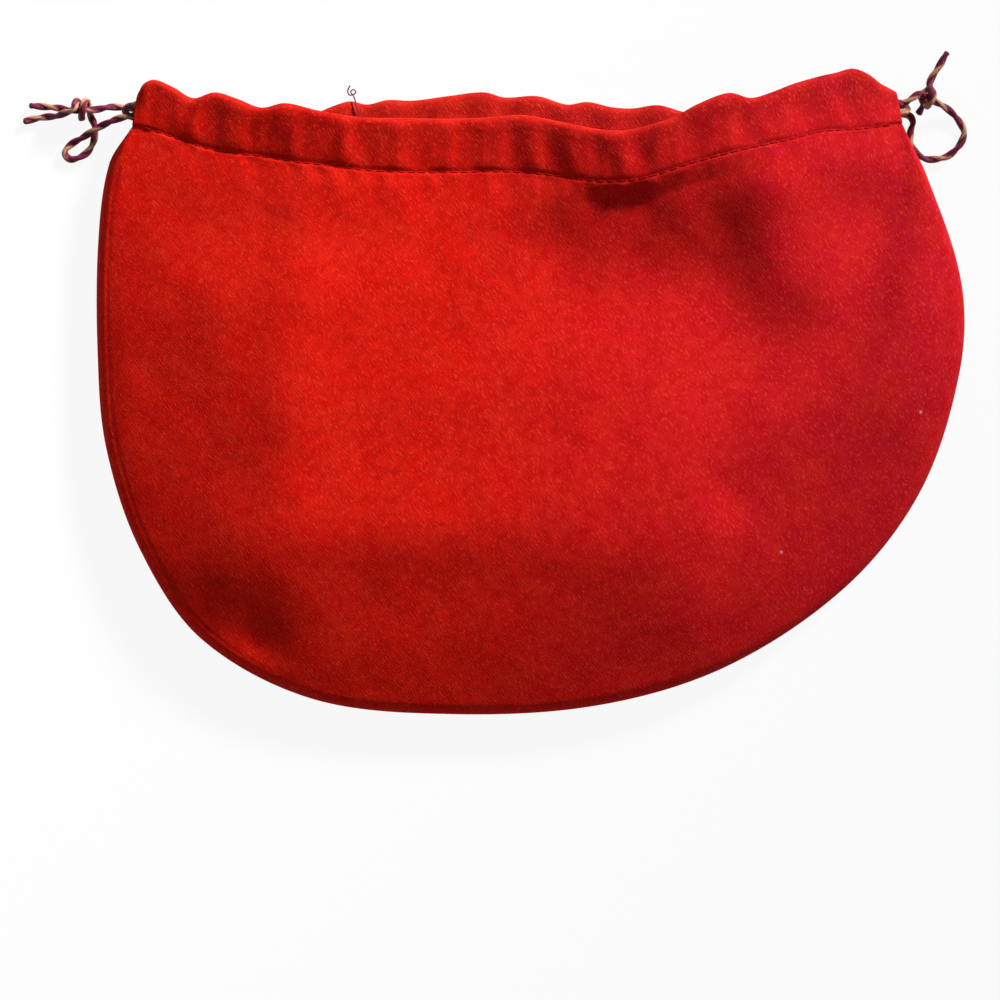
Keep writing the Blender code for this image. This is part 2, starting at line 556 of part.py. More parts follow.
def build():
    clear_scene()
    red = make_material("red_twill", (0.62, 0.012, 0.008), 0.6)
    inside_red = make_material("red_twill_back", (0.60, 0.016, 0.010), 0.65)
    cord_finish = make_material("twisted_cord", (0.20, 0.01, 0.06), 0.6)
    thread_red = make_material("red_thread", (0.50, 0.010, 0.010), 0.55)
    thread_pale = make_material("loose_thread", (0.62, 0.30, 0.28), 0.6)

    panel("front_panel", True, red)
    panel("back_panel", False, inside_red)

    # Stitching: each run lies in the groove that it pulls
    stitch = mouth_columns(FRONT_RIM)[0]
    place = stitch[1:-1:2] - [0, 0.25 * MM]
    lift = mouth_height(place[:, 0]) - STITCH_GROOVE + THREAD / 2 + 0.35 * MM
    cord("front_casing_thread", np.column_stack([place, lift]), THREAD, thread_red, 1)
    stitch = mouth_columns(BACK_RIM)[0]
    place = stitch[1:-1:2] - [0, 0.3 * MM]
    lift = np.full(len(place), 0.62 * CASING_THICKNESS + THREAD / 2 + GAP)
    cord("back_casing_thread", np.column_stack([place, lift]), THREAD, thread_red, 1)
    seam = smooth_curve(SEAM, SEAM_STEPS + 1)
    heading = np.gradient(seam, axis=0)
    heading /= np.linalg.norm(heading, axis=1)[:, None]
    inward = np.stack([-heading[:, 1], heading[:, 0]], axis=1)
    place = (seam + (SEAM_ALLOWANCE - THREAD) * inward)[2:-2]
    lift = np.full(len(place), SEAM_HEIGHT + GAP / 2 + CLOTH + THREAD / 2 + GAP)
    cord("side_seam_thread", np.column_stack([place, lift]), THREAD, thread_red, 1)

    # The cords held in the casings
    drawcord_run("left_drawcord_run", -1, 1, True, cord_finish)
    drawcord_run("right_drawcord_run", 1, -1, False, cord_finish)

    # The free cords: on the left both ends of one cord, knotted together
    upper_exit = lane_end(False, 1, True)
    corner = upper_exit * [1, 1, 0]
    tucked = [lane_end(False, 1, True, share * TUCKED_CORD) for share in (1, 0.5, 0)]
    route = np.vstack([tucked, corner + MM * np.array(UPPER_LEFT_ROUTE)])
    cord("left_cord_upper", smooth_curve(route, 18), CORD, cord_finish, 2)
    tucked = [lane_end(True, -1, True, share * TUCKED_CORD) for share in (1, 0.5, 0)]
    start = corner + MM * np.array(LOWER_LEFT_START)
    coil = wrap(corner + MM * np.array(KNOT_AT_LEFT), (-1, -0.02, 0), 1.5, -math.pi / 2)
    tail = corner + MM * np.array(LOWER_LEFT_END)
    route = np.vstack([tucked, start, coil, tail])
    cord("left_cord_lower", smooth_curve(route, 54), CORD, cord_finish, 2)

    # On the right a loop from casing to casing, with a short end tied round it
    front_exit = lane_end(True, 1, False)
    corner = front_exit * [1, 1, 0]
    start = [lane_end(True, 1, False, share * TUCKED_CORD) for share in (1, 0.5, 0)]
    end = [lane_end(False, -1, False, share * TUCKED_CORD) for share in (0, 0.5, 1)]
    route = np.vstack([start, corner + MM * np.array(RIGHT_LOOP_ROUTE), end])
    cord("right_cord_loop", smooth_curve(route, 42), CORD, cord_finish, 2)
    start = corner + MM * np.array(RIGHT_TIE_START)
    coil = wrap(corner + MM * np.array(KNOT_AT_RIGHT), (2.0, -1.0, -0.9), 1, -math.pi / 2)
    tail = corner + MM * np.array(RIGHT_TIE_END)
    cord("right_cord_tie", smooth_curve(np.vstack([start, coil, tail]), 30), CORD, cord_finish, 2)

    # A stray end of sewing thread with a tiny knot, over the rim of the back
    x = -0.202 * POUCH_WIDTH
    rim_y = float(rim_line(BACK_RIM, np.array([x]))[0])
    puff = float(gathers(np.array([x]), 0)[0])
    high = CASING_THICKNESS + puff + STRAY_THREAD / 2 + GAP
    stray = [
        (1.5, -5.5, high), (0.9, -3.0, high), (0.3, -1.2, high), (0, 0.2, high - 0.6 * MM),
        (-0.3, 1.0, 2.8 * MM), (-0.6, 1.8, 1.6 * MM), (-1.3, 2.6, 0.9 * MM), (-0.6, 3.3, 0.9 * MM),
        (0.1, 2.7, 1.0 * MM), (-0.4, 2.1, 0.6 * MM), (-1.6, 1.9, 0.5 * MM), (-2.0, 3.0, 0.4 * MM),
        (-1.4, 4.3, 0.4 * MM),
    ]
    points = [(x + MM * dx, rim_y + MM * dy, z) for dx, dy, z in stray]
    cord("loose_thread", smooth_curve(points, 30), STRAY_THREAD, thread_pale, 1)


build()
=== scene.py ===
"""The looks of a soft drawstring pouch that lies on its back with its mouth a little open.

The cloth, its seams and gathers, the two-ply cords and the sewing threads are worked out here as
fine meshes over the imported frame. +X runs to the right along the mouth, +Y out of the mouth and
+Z up. All sizes are in metres unless a name says otherwise.
"""

import logging
import math
from collections.abc import Callable
from dataclasses import dataclass, field
from enum import Enum

import bpy
import numpy as np
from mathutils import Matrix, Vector


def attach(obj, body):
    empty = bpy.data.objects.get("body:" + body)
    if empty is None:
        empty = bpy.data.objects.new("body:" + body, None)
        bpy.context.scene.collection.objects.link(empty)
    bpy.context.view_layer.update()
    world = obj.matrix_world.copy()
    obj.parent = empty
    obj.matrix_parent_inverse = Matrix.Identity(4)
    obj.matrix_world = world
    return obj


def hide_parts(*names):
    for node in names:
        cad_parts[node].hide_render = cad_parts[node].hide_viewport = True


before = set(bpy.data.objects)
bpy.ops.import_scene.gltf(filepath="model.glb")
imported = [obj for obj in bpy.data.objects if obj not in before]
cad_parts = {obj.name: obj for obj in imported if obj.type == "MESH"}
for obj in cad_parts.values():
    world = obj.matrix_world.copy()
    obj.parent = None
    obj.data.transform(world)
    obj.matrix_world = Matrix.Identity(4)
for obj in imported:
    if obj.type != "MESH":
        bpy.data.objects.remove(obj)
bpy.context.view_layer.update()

MM = 0.001
LOG = logging.getLogger("pouch")


# Small shapes that everything else uses


def smooth_step(value: np.ndarray, low: float, high: float) -> np.ndarray:
    """Ease from 0 below low to 1 above high: three times the share squared less twice its cube."""
    share = np.clip((value - low) / (high - low), 0, 1)
    return share * share * (3 - 2 * share)


def smooth_curve(points: np.ndarray, count: int) -> np.ndarray:
    """Read points from a smooth curve through the given ones.

    Each leg is a cubic whose slope at a point is that between its two neighbours.

    Args:
        points: The points that the curve passes through, one a row.
        count: How many points to read, evenly along the given legs.

    Returns:
        The points read, one a row.
    """
    points = np.asarray(points, float)
    gaps = np.linalg.norm(np.diff(points, axis=0), axis=1)
    knots = np.concatenate([[0], np.cumsum(gaps)])
    slopes = np.empty_like(points)
    slopes[1:-1] = (points[2:] - points[:-2]) / (knots[2:] - knots[:-2])[:, None]
    slopes[0] = (points[1] - points[0]) / gaps[0]
    slopes[-1] = (points[-1] - points[-2]) / gaps[-1]
    at = np.linspace(0, knots[-1], count)
    leg = np.clip(np.searchsorted(knots, at, side="right") - 1, 0, len(gaps) - 1)
    span = gaps[leg][:, None]
    s = ((at - knots[leg]) / gaps[leg])[:, None]
    start = (2 * s**3 - 3 * s**2 + 1) * points[leg] + (s**3 - 2 * s**2 + s) * span * slopes[leg]
    end = (3 * s**2 - 2 * s**3) * points[leg + 1] + (s**3 - s**2) * span * slopes[leg + 1]
    return start + end


def eased(points: np.ndarray, reach: float) -> np.ndarray:
    """Round off the kinks of a route.

    The route is laid out again in even steps, and each point becomes the mean of its neighbours,
    weighted by a bell curve of the given reach. Beyond each end the route is mirrored through that
    end, so that the ends stay in place.

    Args:
        points: The route's points.
        reach: The bell curve's reach.

    Returns:
        As many points, on the eased route.
    """
    run = np.concatenate([[0], np.cumsum(np.linalg.norm(np.diff(points, axis=0), axis=1))])
    even = np.linspace(0, run[-1], len(points))
    even_points = np.stack([np.interp(even, run, column) for column in points.T], axis=1)
    half = math.ceil(3 * reach / even[1])
    before = 2 * even_points[0] - even_points[half:0:-1]
    after = 2 * even_points[-1] - even_points[-2:-half - 2:-1]
    padded = np.vstack([before, even_points, after])
    weights = np.exp(-0.5 * (np.arange(-half, half + 1) * even[1] / reach) ** 2)
    weights /= weights.sum()
    return np.stack([np.convolve(column, weights, "valid") for column in padded.T], axis=1)


def beside_route(places: np.ndarray, route: np.ndarray) -> tuple[np.ndarray, np.ndarray, float]:
    """Measure places against a route of straight legs.

    Args:
        places: Places in the plane, one a row.
        route: The route's corners, one a row.

    Returns:
        How far each place lies to the left of the route (below 0 on its right), how far along the
        route its nearest point is, and the route's length.
    """
    nearest = np.full(len(places), np.inf)
    beside = np.zeros(len(places))
    along = np.zeros(len(places))
    passed = 0.0
    for a, b in zip(route[:-1], route[1:]):
        leg = b - a
        length = np.linalg.norm(leg)
        share = np.clip((places - a) @ leg / length**2, 0, 1)
        gap = places - a - share[:, None] * leg
        away = np.linalg.norm(gap, axis=1)
        closer = away < nearest
        left = np.where(leg[0] * gap[:, 1] - leg[1] * gap[:, 0] >= 0, away, -away)
        nearest = np.where(closer, away, nearest)
        beside = np.where(closer, left, beside)
        along = np.where(closer, passed + share * length, along)
        passed += length
    return beside, along, passed


def lower_of(a: np.ndarray, b: np.ndarray, ease: float) -> np.ndarray:
    """The lower of two heights, with a parabola over the last stretch where they cross."""
    blend = np.clip(0.5 + (b - a) / (2 * ease), 0, 1)
    return b * (1 - blend) + a * blend - ease * blend * (1 - blend)


def soft_waves(places: np.ndarray, length: float, seed: int, count: int = 14) -> np.ndarray:
    """An uneven, rolling surface between about -1 and 1.

    It is the sum of plane waves whose headings, lengths (0.7 to 1.5 times the given one) and
    starts are drawn once from the seed, over the square root of their number.

    Args:
        places: Places in the plane, one a row.
        length: The usual distance from crest to crest.
        seed: Which set of waves.
        count: How many waves.

    Returns:
        A height for each place.
    """
    draw = np.random.default_rng(seed)
    heading = draw.uniform(0, 2 * math.pi, count)
    pitch = length * draw.uniform(0.7, 1.5, count)
    start = draw.uniform(0, 2 * math.pi, count)
    turns = 2 * math.pi / pitch
    along_x = np.outer(places[:, 0], turns * np.cos(heading))
    along_y = np.outer(places[:, 1], turns * np.sin(heading))
    return np.sin(along_x + along_y + start).sum(axis=1) / math.sqrt(count)


# The pouch's form


@dataclass(frozen=True)
class PouchForm:
    """The driving sizes and the heights of the two cloth panels, the same as in the frame."""

    width: float = 218 * MM
    length: float = 163 * MM
    cloth: float = 0.8 * MM
    gap: float = 0.3 * MM
    cord: float = 1.8 * MM
    cord_clearance: float = 0.42 * MM
    lane_ease: float = 0.2 * MM
    casing_depth: float = 13.3 * MM
    casing_end_run: float = 18 * MM
    seam_allowance: float = 4 * MM
    edge_radius: float = 3 * MM
    under_roll: float = 7 * MM
    puff: float = 12 * MM
    flank_slope: float = 0.43
    crease: float = 1.6 * MM
    mouth_free: float = 38.5 * MM
    gather_height: float = 0.7 * MM
    gather_pitch: float = 12 * MM
    gather_drift: float = 17 * MM
    gather_reach: float = 20 * MM
    gather_ends: tuple = (3 * MM, 16 * MM)
    stitch_groove: float = 0.6 * MM
    fold_depth: float = 4.2 * MM
    fold_fade: float = 16 * MM
    mouth_lift: float = 16 * MM
    held_edge: float = 10 * MM
    end_reach_front: float = 5 * MM
    end_reach_back: float = 3 * MM
    tucked_cord: float = 4 * MM
    seam: tuple = (
        (-0.458, 0.411), (-0.486, 0.356), (-0.499, 0.239), (-0.500, 0.065), (-0.490, -0.083),
        (-0.450, -0.242), (-0.379, -0.380), (-0.252, -0.472), (-0.092, -0.496), (0.080, -0.482),
        (0.229, -0.421), (0.367, -0.297), (0.452, -0.150), (0.4965, 0.034), (0.4985, 0.170),
        (0.459, 0.334), (0.429, 0.415),
    )
    front_rim: tuple = (
        (-0.452, 0.461), (-0.445, 0.476), (-0.432, 0.482), (-0.410, 0.470), (-0.387, 0.453),
        (-0.362, 0.461), (-0.335, 0.450), (-0.308, 0.436), (-0.280, 0.442), (-0.243, 0.430),
        (-0.195, 0.419), (-0.146, 0.417), (-0.090, 0.416), (-0.044, 0.418), (-0.010, 0.421),
        (0.030, 0.411), (0.075, 0.398), (0.105, 0.395), (0.135, 0.403), (0.165, 0.417),
        (0.190, 0.435), (0.225, 0.452), (0.250, 0.445), (0.275, 0.455), (0.298, 0.468),
        (0.330, 0.482), (0.350, 0.489), (0.370, 0.4965), (0.387, 0.490), (0.402, 0.477),
        (0.413, 0.4705), (0.422, 0.4645),
    )
    back_rim: tuple = (
        (-0.452, 0.458), (-0.440, 0.469), (-0.425, 0.470), (-0.387, 0.447), (-0.362, 0.454),
        (-0.308, 0.430), (-0.280, 0.437), (-0.252, 0.434), (-0.225, 0.447), (-0.208, 0.453),
        (-0.188, 0.448), (-0.165, 0.455), (-0.136, 0.454), (-0.095, 0.461), (-0.053, 0.467),
        (-0.029, 0.459), (0.009, 0.461), (0.043, 0.448), (0.067, 0.452), (0.095, 0.444),
        (0.119, 0.442), (0.149, 0.447), (0.184, 0.436), (0.225, 0.445), (0.250, 0.439),
        (0.298, 0.463), (0.346, 0.481), (0.370, 0.492), (0.387, 0.485), (0.406, 0.4695),
        (0.422, 0.4625),
    )
    mouth_arch: tuple = (
        (-0.458, 0.0), (-0.40, 0.10), (-0.32, 0.32), (-0.24, 0.54), (-0.16, 0.63), (-0.08, 0.64),
        (0.0, 0.72), (0.08, 0.92), (0.16, 1.0), (0.225, 0.97), (0.28, 0.80), (0.36, 0.36),
        (0.429, 0.0),
    )
    facets: tuple = (
        ((-0.274, -0.050), (-1.00, 0.04), 0.27),
        ((-0.050, -0.229), (-0.04, -1.00), 0.27),
        ((0.160, -0.216), (0.79, -0.61), 0.27),
        ((0.208, -0.029), (0.70, 0.71), 0.13),
    )
    folds: tuple = (
        (((0.04, 0.335), (0.10, 0.263), (0.154, 0.215), (0.197, 0.142), (0.321, 0.015)), -1.02, 25, 33),
        (((0.288, 0.381), (0.275, 0.258), (0.329, 0.078)), 0.50, 13, 10),
        (((0.185, 0.381), (0.171, 0.270), (0.207, 0.179)), 0.34, 7, 10),
        (((-0.318, -0.270), (-0.318, -0.360), (-0.300, -0.463)), -0.35, 8, 12),
        (((0.413, 0.35), (0.39, 0.156), (0.323, 0.0), (0.242, -0.145), (0.206, -0.228)), -0.58, 7, 10),
        (((0.446, 0.205), (0.441, 0.052), (0.400, -0.117)), 0.20, 11, 8),
        (((-0.430, 0.234), (-0.361, 0.092), (-0.290, -0.101)), 0.28, 14, 29),
    )

    @property
    def size(self) -> np.ndarray:
        """Width and length of the cloth as it lies."""
        return np.array([self.width, self.length])

    @property
    def casing_thickness(self) -> float:
        """A cord with its clearance between two plies."""
        return self.cord + 2 * self.cord_clearance + 2 * self.cloth

    @property
    def seam_height(self) -> float:
        """Height of the side seam over the floor."""
        return self.casing_thickness + self.gap / 2

    @property
    def middle(self) -> np.ndarray:
        """The spot round which the panels' rings are drawn."""
        return self.size * np.array([0.02, -0.03])

    def seam_line(self, count: int) -> np.ndarray:
        """The side seam from the left end of the casing round the bottom to the right end."""
        return smooth_curve(self.size * np.array(self.seam), count)

    def ends(self) -> tuple[np.ndarray, np.ndarray]:
        """Where the side seam stops, on the left and on the right."""
        return self.size * np.array(self.seam[0]), self.size * np.array(self.seam[-1])

    def inset(self, places: np.ndarray) -> np.ndarray:
        """How far inside the side seam each place lies."""
        return np.abs(beside_route(places, self.seam_line(240))[0])

    def near_ends(self, places: np.ndarray, reach: float) -> np.ndarray:
        """A bell round each end of the casing, 1 at the end.

        Args:
            places: Places in the plane, one a row.
            reach: How wide the bell is.

        Returns:
            The bell's height at each place.
        """
        left, right = self.ends()
        away = np.minimum(np.linalg.norm(places - left, axis=1), np.linalg.norm(places - right, axis=1))
        return np.exp(-((away / reach) ** 2))

    def rim(self, is_front: bool) -> np.ndarray:
        """The gathered rim of a panel, as a fine line."""
        return smooth_curve(self.size * np.array(self.front_rim if is_front else self.back_rim), 400)

    def stitch_y(self, is_front: bool, x: np.ndarray) -> np.ndarray:
        """The casing's stitching: its depth below the rim's mean line, out to the seam's ends.

        Args:
            is_front: Whether the front panel is meant.
            x: Where along the mouth.

        Returns:
            The stitching's Y at each x.
        """
        line = self.rim(is_front)
        left, right = self.ends()
        shifts = np.linspace(-12, 12, 13) * MM
        mean = np.mean([np.interp(x + shift, line[:, 0], line[:, 1]) for shift in shifts], axis=0)
        inner = smooth_step(np.minimum(x - left[0], right[0] - x), 0, self.casing_end_run)
        return np.where(x < 0, left[1], right[1]) * (1 - inner) + (mean - self.casing_depth) * inner

    def mouth_height(self, x: np.ndarray) -> np.ndarray:
        """Top of the front casing along the mouth, an arch on top of the back casing.

        Args:
            x: Where along the mouth.

        Returns:
            The height at each x.
        """
        arch = smooth_curve([(self.width * at, self.mouth_lift * up) for at, up in self.mouth_arch], 300)
        lift = np.maximum(np.interp(x, arch[:, 0], arch[:, 1]), 0)
        return self.seam_height + self.gap / 2 + self.casing_thickness + lift

    def gathers(self, x: np.ndarray, below: np.ndarray) -> np.ndarray:
        """Puffs of gathered cloth: a raised cosine whose phase drifts, fading below the stitching.

        Args:
            x: Where along the mouth.
            below: How far below the stitching.

        Returns:
            How high the cloth is puffed up.
        """
        left, right = self.ends()
        wave = 0.5 + 0.5 * np.cos(2 * math.pi * x / self.gather_pitch + 1.3 * np.sin(x / self.gather_drift))
        held = smooth_step(np.minimum(x - left[0], right[0] - x), *self.gather_ends)
        return self.gather_height * wave * held * (1 - smooth_step(below, 0, self.gather_reach))

    def crown(self, places: np.ndarray) -> np.ndarray:
        """Height over the edge: a flat top that falls away in planes, the lowest plane winning.

        Args:
            places: Places in the plane, one a row.

        Returns:
            The height over the edge at each place.
        """
        height = np.full(len(places), self.puff)
        for spot, heading, slope in self.facets:
            heading = np.array(heading) / np.linalg.norm(heading)
            plane = self.puff - slope * ((places - self.size * np.array(spot)) @ heading)
            height = lower_of(height, plane, self.crease)
        return height

    def front_top(self, places: np.ndarray) -> np.ndarray:
        """Height of the outer face of the front panel.

        A quarter-round edge carries the crown, which eases to the arch of the mouth. Bell-shaped
        ridges and valleys follow the fold routes, and the gathers fade away below the stitching.

        Args:
            places: Places in the plane, one a row.

        Returns:
            The height at each place.
        """
        x, y = places[:, 0], places[:, 1]
        inset = self.inset(places)
        corner = 1 - np.clip(inset / self.edge_radius, 0, 1)
        ends = 2.3 * MM * self.near_ends(places, self.end_reach_front)
        edge = self.seam_height + self.gap / 2 + 0.9 * MM + ends
        edge = edge + self.edge_radius * np.sqrt(1 - corner**2)
        puff = lower_of(self.crown(places), self.flank_slope * inset, 3 * MM)
        below = self.stitch_y(True, x) - y
        arch = self.mouth_height(x) - self.stitch_groove
        held = smooth_step(inset, 0, self.held_edge)
        at_mouth = arch * held + np.minimum(edge + puff, arch) * (1 - held)
        free = smooth_step(below, -2 * MM, self.mouth_free)
        top = (edge + puff) * free + at_mouth * (1 - free)
        for route, share, left, right in self.folds:
            beside, along, length = beside_route(places, smooth_curve(self.size * np.array(route), 24))
            width = np.where(beside > 0, left, right) * MM
            fade = smooth_step(along, 0, self.fold_fade) * smooth_step(length - along, 0, self.fold_fade)
            inside = smooth_step(inset, 0, 8 * MM) * smooth_step(below, 0, 6 * MM)
            top = top + share * self.fold_depth * np.exp(-((beside / width) ** 2)) * fade * inside
        return top + self.gathers(x, below) * smooth_step(below, 0, 5 * MM) * held

    def back_bottom(self, places: np.ndarray) -> np.ndarray:
        """Height of the outer face of the back panel: flat, and rolled up to the seam by a power.

        Args:
            places: Places in the plane, one a row.

        Returns:
            The height at each place.
        """
        inset = self.inset(places)
        end = self.near_ends(places, self.end_reach_back)
        edge = (self.seam_height - self.gap / 2 - 0.4 * MM) * (1 - end) + 0.8 * MM * end
        return edge * np.clip(1 - inset / self.under_roll, 0, 1) ** 1.3

    def wall(self, height: Callable[[np.ndarray], np.ndarray], places: np.ndarray) -> np.ndarray:
        """Cloth thickness measured straight up: the thickness over the cosine of the slope.

        Args:
            height: Gives the cloth's height at places.
            places: Places in the plane, one a row.

        Returns:
            The upright thickness at each place.
        """
        step = 0.2 * MM
        dx = height(places + [step, 0]) - height(places - [step, 0])
        dy = height(places + [0, step]) - height(places - [0, step])
        return self.cloth * np.sqrt(1 + np.minimum(np.hypot(dx, dy) / (2 * step), 1.2) ** 2)


# Meshes


@dataclass
class MeshBook:
    """Collects vertices and faces as arrays, then makes one mesh object of them."""

    points: list = field(default_factory=list)
    faces: list = field(default_factory=list)
    count: int = 0

    def add(self, points: np.ndarray) -> np.ndarray:
        """Add points.

        Args:
            points: Points in any array shape, three numbers each.

        Returns:
            Their vertex numbers, in the same shape.
        """
        shape = points.shape[:-1]
        flat = np.asarray(points, float).reshape(-1, 3)
        self.points.append(flat)
        numbers = np.arange(self.count, self.count + len(flat)).reshape(shape)
        self.count += len(flat)
        return numbers

    def grid(self, numbers: np.ndarray, flip: bool = False, wrap: bool = False) -> None:
        """Add a square between each four neighbours of a grid of numbers.

        Args:
            numbers: Vertex numbers, rows by columns.
            flip: Turn the faces round.
            wrap: Join the last column to the first.
        """
        if wrap:
            numbers = np.column_stack([numbers, numbers[:, :1]])
        a, b = numbers[:-1, :-1].ravel(), numbers[1:, :-1].ravel()
        c, d = numbers[1:, 1:].ravel(), numbers[:-1, 1:].ravel()
        quads = np.stack([a, b, c, d], axis=1)
        self.faces.extend((quads[:, ::-1] if flip else quads).tolist())

    def fan(self, centre: int, ring: np.ndarray, flip: bool = False) -> None:
        """Close a ring with triangles to its centre.

        Args:
            centre: The centre's vertex number.
            ring: The ring's vertex numbers.
            flip: Turn the faces round.
        """
        after = np.roll(ring, -1)
        triangles = np.stack([np.full(len(ring), centre), ring, after], axis=1)
        self.faces.extend((triangles[:, ::-1] if flip else triangles).tolist())

    def polygon(self, numbers: np.ndarray, flip: bool = False) -> None:
        """Add one face through the given numbers."""
        self.faces.append(list(map(int, numbers[::-1] if flip else numbers)))

    def make(self, name: str, material: bpy.types.Material) -> bpy.types.Object:
        """Make the object, smooth and with its one material.

        Args:
            name: The object's name.
            material: Its material.

        Returns:
            The object, linked into the scene.
        """
        mesh = bpy.data.meshes.new(name)
        mesh.from_pydata(np.vstack(self.points).tolist(), [], self.faces)
        mesh.validate()
        mesh.shade_smooth()
        mesh.materials.append(material)
        thing = bpy.data.objects.new(name, mesh)
        bpy.context.scene.collection.objects.link(thing)
        return thing


def store_numbers(thing: bpy.types.Object, name: str, values: np.ndarray) -> None:
    """Store a number on each vertex, which a material reads.

    Args:
        thing: The mesh object.
        name: The name that the material reads.
        values: One number a vertex.
    """
    mesh = thing.data
    attribute = mesh.attributes.new(name, "FLOAT", "POINT")
    attribute.data.foreach_set("value", np.asarray(values, np.float32))


# Finishes


class Nodes:
    """A short way to place shader nodes and join them."""

    def __init__(self, tree: bpy.types.NodeTree) -> None:
        """Work on this tree."""
        self.tree = tree

    def add(self, kind: str, **values: object) -> bpy.types.Node:
        """Place a node.

        Args:
            kind: The kind of node.
            values: Its plain settings by name.

        Returns:
            The node.
        """
        node = self.tree.nodes.new(kind)
        for name, value in values.items():
            setattr(node, name, value)
        return node

    def feed(self, socket: bpy.types.NodeSocket, source: object) -> None:
        """Join a socket to another node's output, or set its value.

        Args:
            socket: The socket to feed.
            source: The output or the value.
        """
        if isinstance(source, bpy.types.NodeSocket):
            self.tree.links.new(source, socket)
        else:
            socket.default_value = source

    def math(self, operation: str, *sources: object) -> bpy.types.NodeSocket:
        """Place a math node.

        Args:
            operation: What it works out.
            sources: Its outputs or values, in the sockets' order.

        Returns:
            The result.
        """
        node = self.add("ShaderNodeMath", operation=operation)
        for socket, source in zip(node.inputs, sources):
            self.feed(socket, source)
        return node.outputs[0]

    def mix(self, share: object, first: object, second: object) -> bpy.types.NodeSocket:
        """Mix two colours.

        Args:
            share: How much of the second colour shows.
            first: The colour at share 0.
            second: The colour at share 1.

        Returns:
            The mixed colour.
        """
        node = self.add("ShaderNodeMix", data_type="RGBA")
        self.feed(node.inputs[0], share)
        self.feed(node.inputs[6], first)
        self.feed(node.inputs[7], second)
        return node.outputs[2]

    def span(
        self, value: object, low: float, high: float, to_low: float, to_high: float
    ) -> bpy.types.NodeSocket:
        """Map a value from one range to another, held at both ends.

        Args:
            value: The value to map.
            low: Where the first range starts.
            high: Where the first range ends.
            to_low: What the start becomes.
            to_high: What the end becomes.

        Returns:
            The mapped value.
        """
        node = self.add("ShaderNodeMapRange")
        self.feed(node.inputs[0], value)
        for socket, number in zip(node.inputs[1:5], (low, high, to_low, to_high)):
            socket.default_value = number
        return node.outputs[0]

    def noise(self, place: object, scale: object, detail: float = 2.0) -> bpy.types.NodeSocket:
        """Place uneven noise.

        Args:
            place: Where it is read.
            scale: How many lumps there are to a metre.
            detail: How many finer layers lie on top.

        Returns:
            A value from 0 to 1.
        """
        node = self.add("ShaderNodeTexNoise")
        self.feed(node.inputs["Vector"], place)
        self.feed(node.inputs["Scale"], scale)
        node.inputs["Detail"].default_value = detail
        return node.outputs["Fac"]

    def object_place(self) -> bpy.types.NodeSocket:
        """Each spot's place on its own object, in metres."""
        return self.add("ShaderNodeTexCoord").outputs["Object"]

    def stored(self, name: str) -> bpy.types.NodeSocket:
        """The number stored on the mesh under a name."""
        return self.add("ShaderNodeAttribute", attribute_name=name).outputs["Fac"]

    def turned(self, place: object, angle: float) -> bpy.types.NodeSocket:
        """Turn a place about the upright axis.

        Args:
            place: The place.
            angle: How far, in radians.

        Returns:
            The turned place.
        """
        node = self.add("ShaderNodeVectorRotate", rotation_type="Z_AXIS")
        self.feed(node.inputs["Vector"], place)
        node.inputs["Angle"].default_value = angle
        return node.outputs[0]

    def scaled(self, place: object, factors: tuple) -> bpy.types.NodeSocket:
        """Multiply a place by a factor for each axis.

        Args:
            place: The place.
            factors: The three factors.

        Returns:
            The scaled place.
        """
        node = self.add("ShaderNodeVectorMath", operation="MULTIPLY")
        self.feed(node.inputs[0], place)
        node.inputs[1].default_value = factors
        return node.outputs[0]

    def bump(self, shader: bpy.types.Node, height: object, strength: float, distance: float) -> None:
        """Lean a shader's normal by a height.

        Args:
            shader: The shader whose normal is fed.
            height: The height, from 0 to about 1.
            strength: How much of the lean shows.
            distance: How high 1 stands.
        """
        node = self.add("ShaderNodeBump")
        node.inputs["Strength"].default_value = strength
        node.inputs["Distance"].default_value = distance
        self.feed(node.inputs["Height"], height)
        self.feed(shader.inputs["Normal"], node.outputs[0])


def make_group(
    name: str, inputs: dict, outputs: dict
) -> tuple[bpy.types.NodeTree, Nodes, bpy.types.Node, bpy.types.Node]:
    """Start a shader node group with named sockets.

    Args:
        name: The group's name.
        inputs: Socket names with their default numbers.
        outputs: Socket names with their socket kinds.

    Returns:
        The group, its node helper, and its input and output nodes.
    """
    tree = bpy.data.node_groups.new(name, "ShaderNodeTree")
    for socket, value in inputs.items():
        kind = "NodeSocketVector" if value is None else "NodeSocketFloat"
        made = tree.interface.new_socket(socket, in_out="INPUT", socket_type=kind)
        if value is not None:
            made.default_value = value
    for socket, kind in outputs.items():
        tree.interface.new_socket(socket, in_out="OUTPUT", socket_type=kind)
    nodes = Nodes(tree)
    return tree, nodes, nodes.add("NodeGroupInput"), nodes.add("NodeGroupOutput")


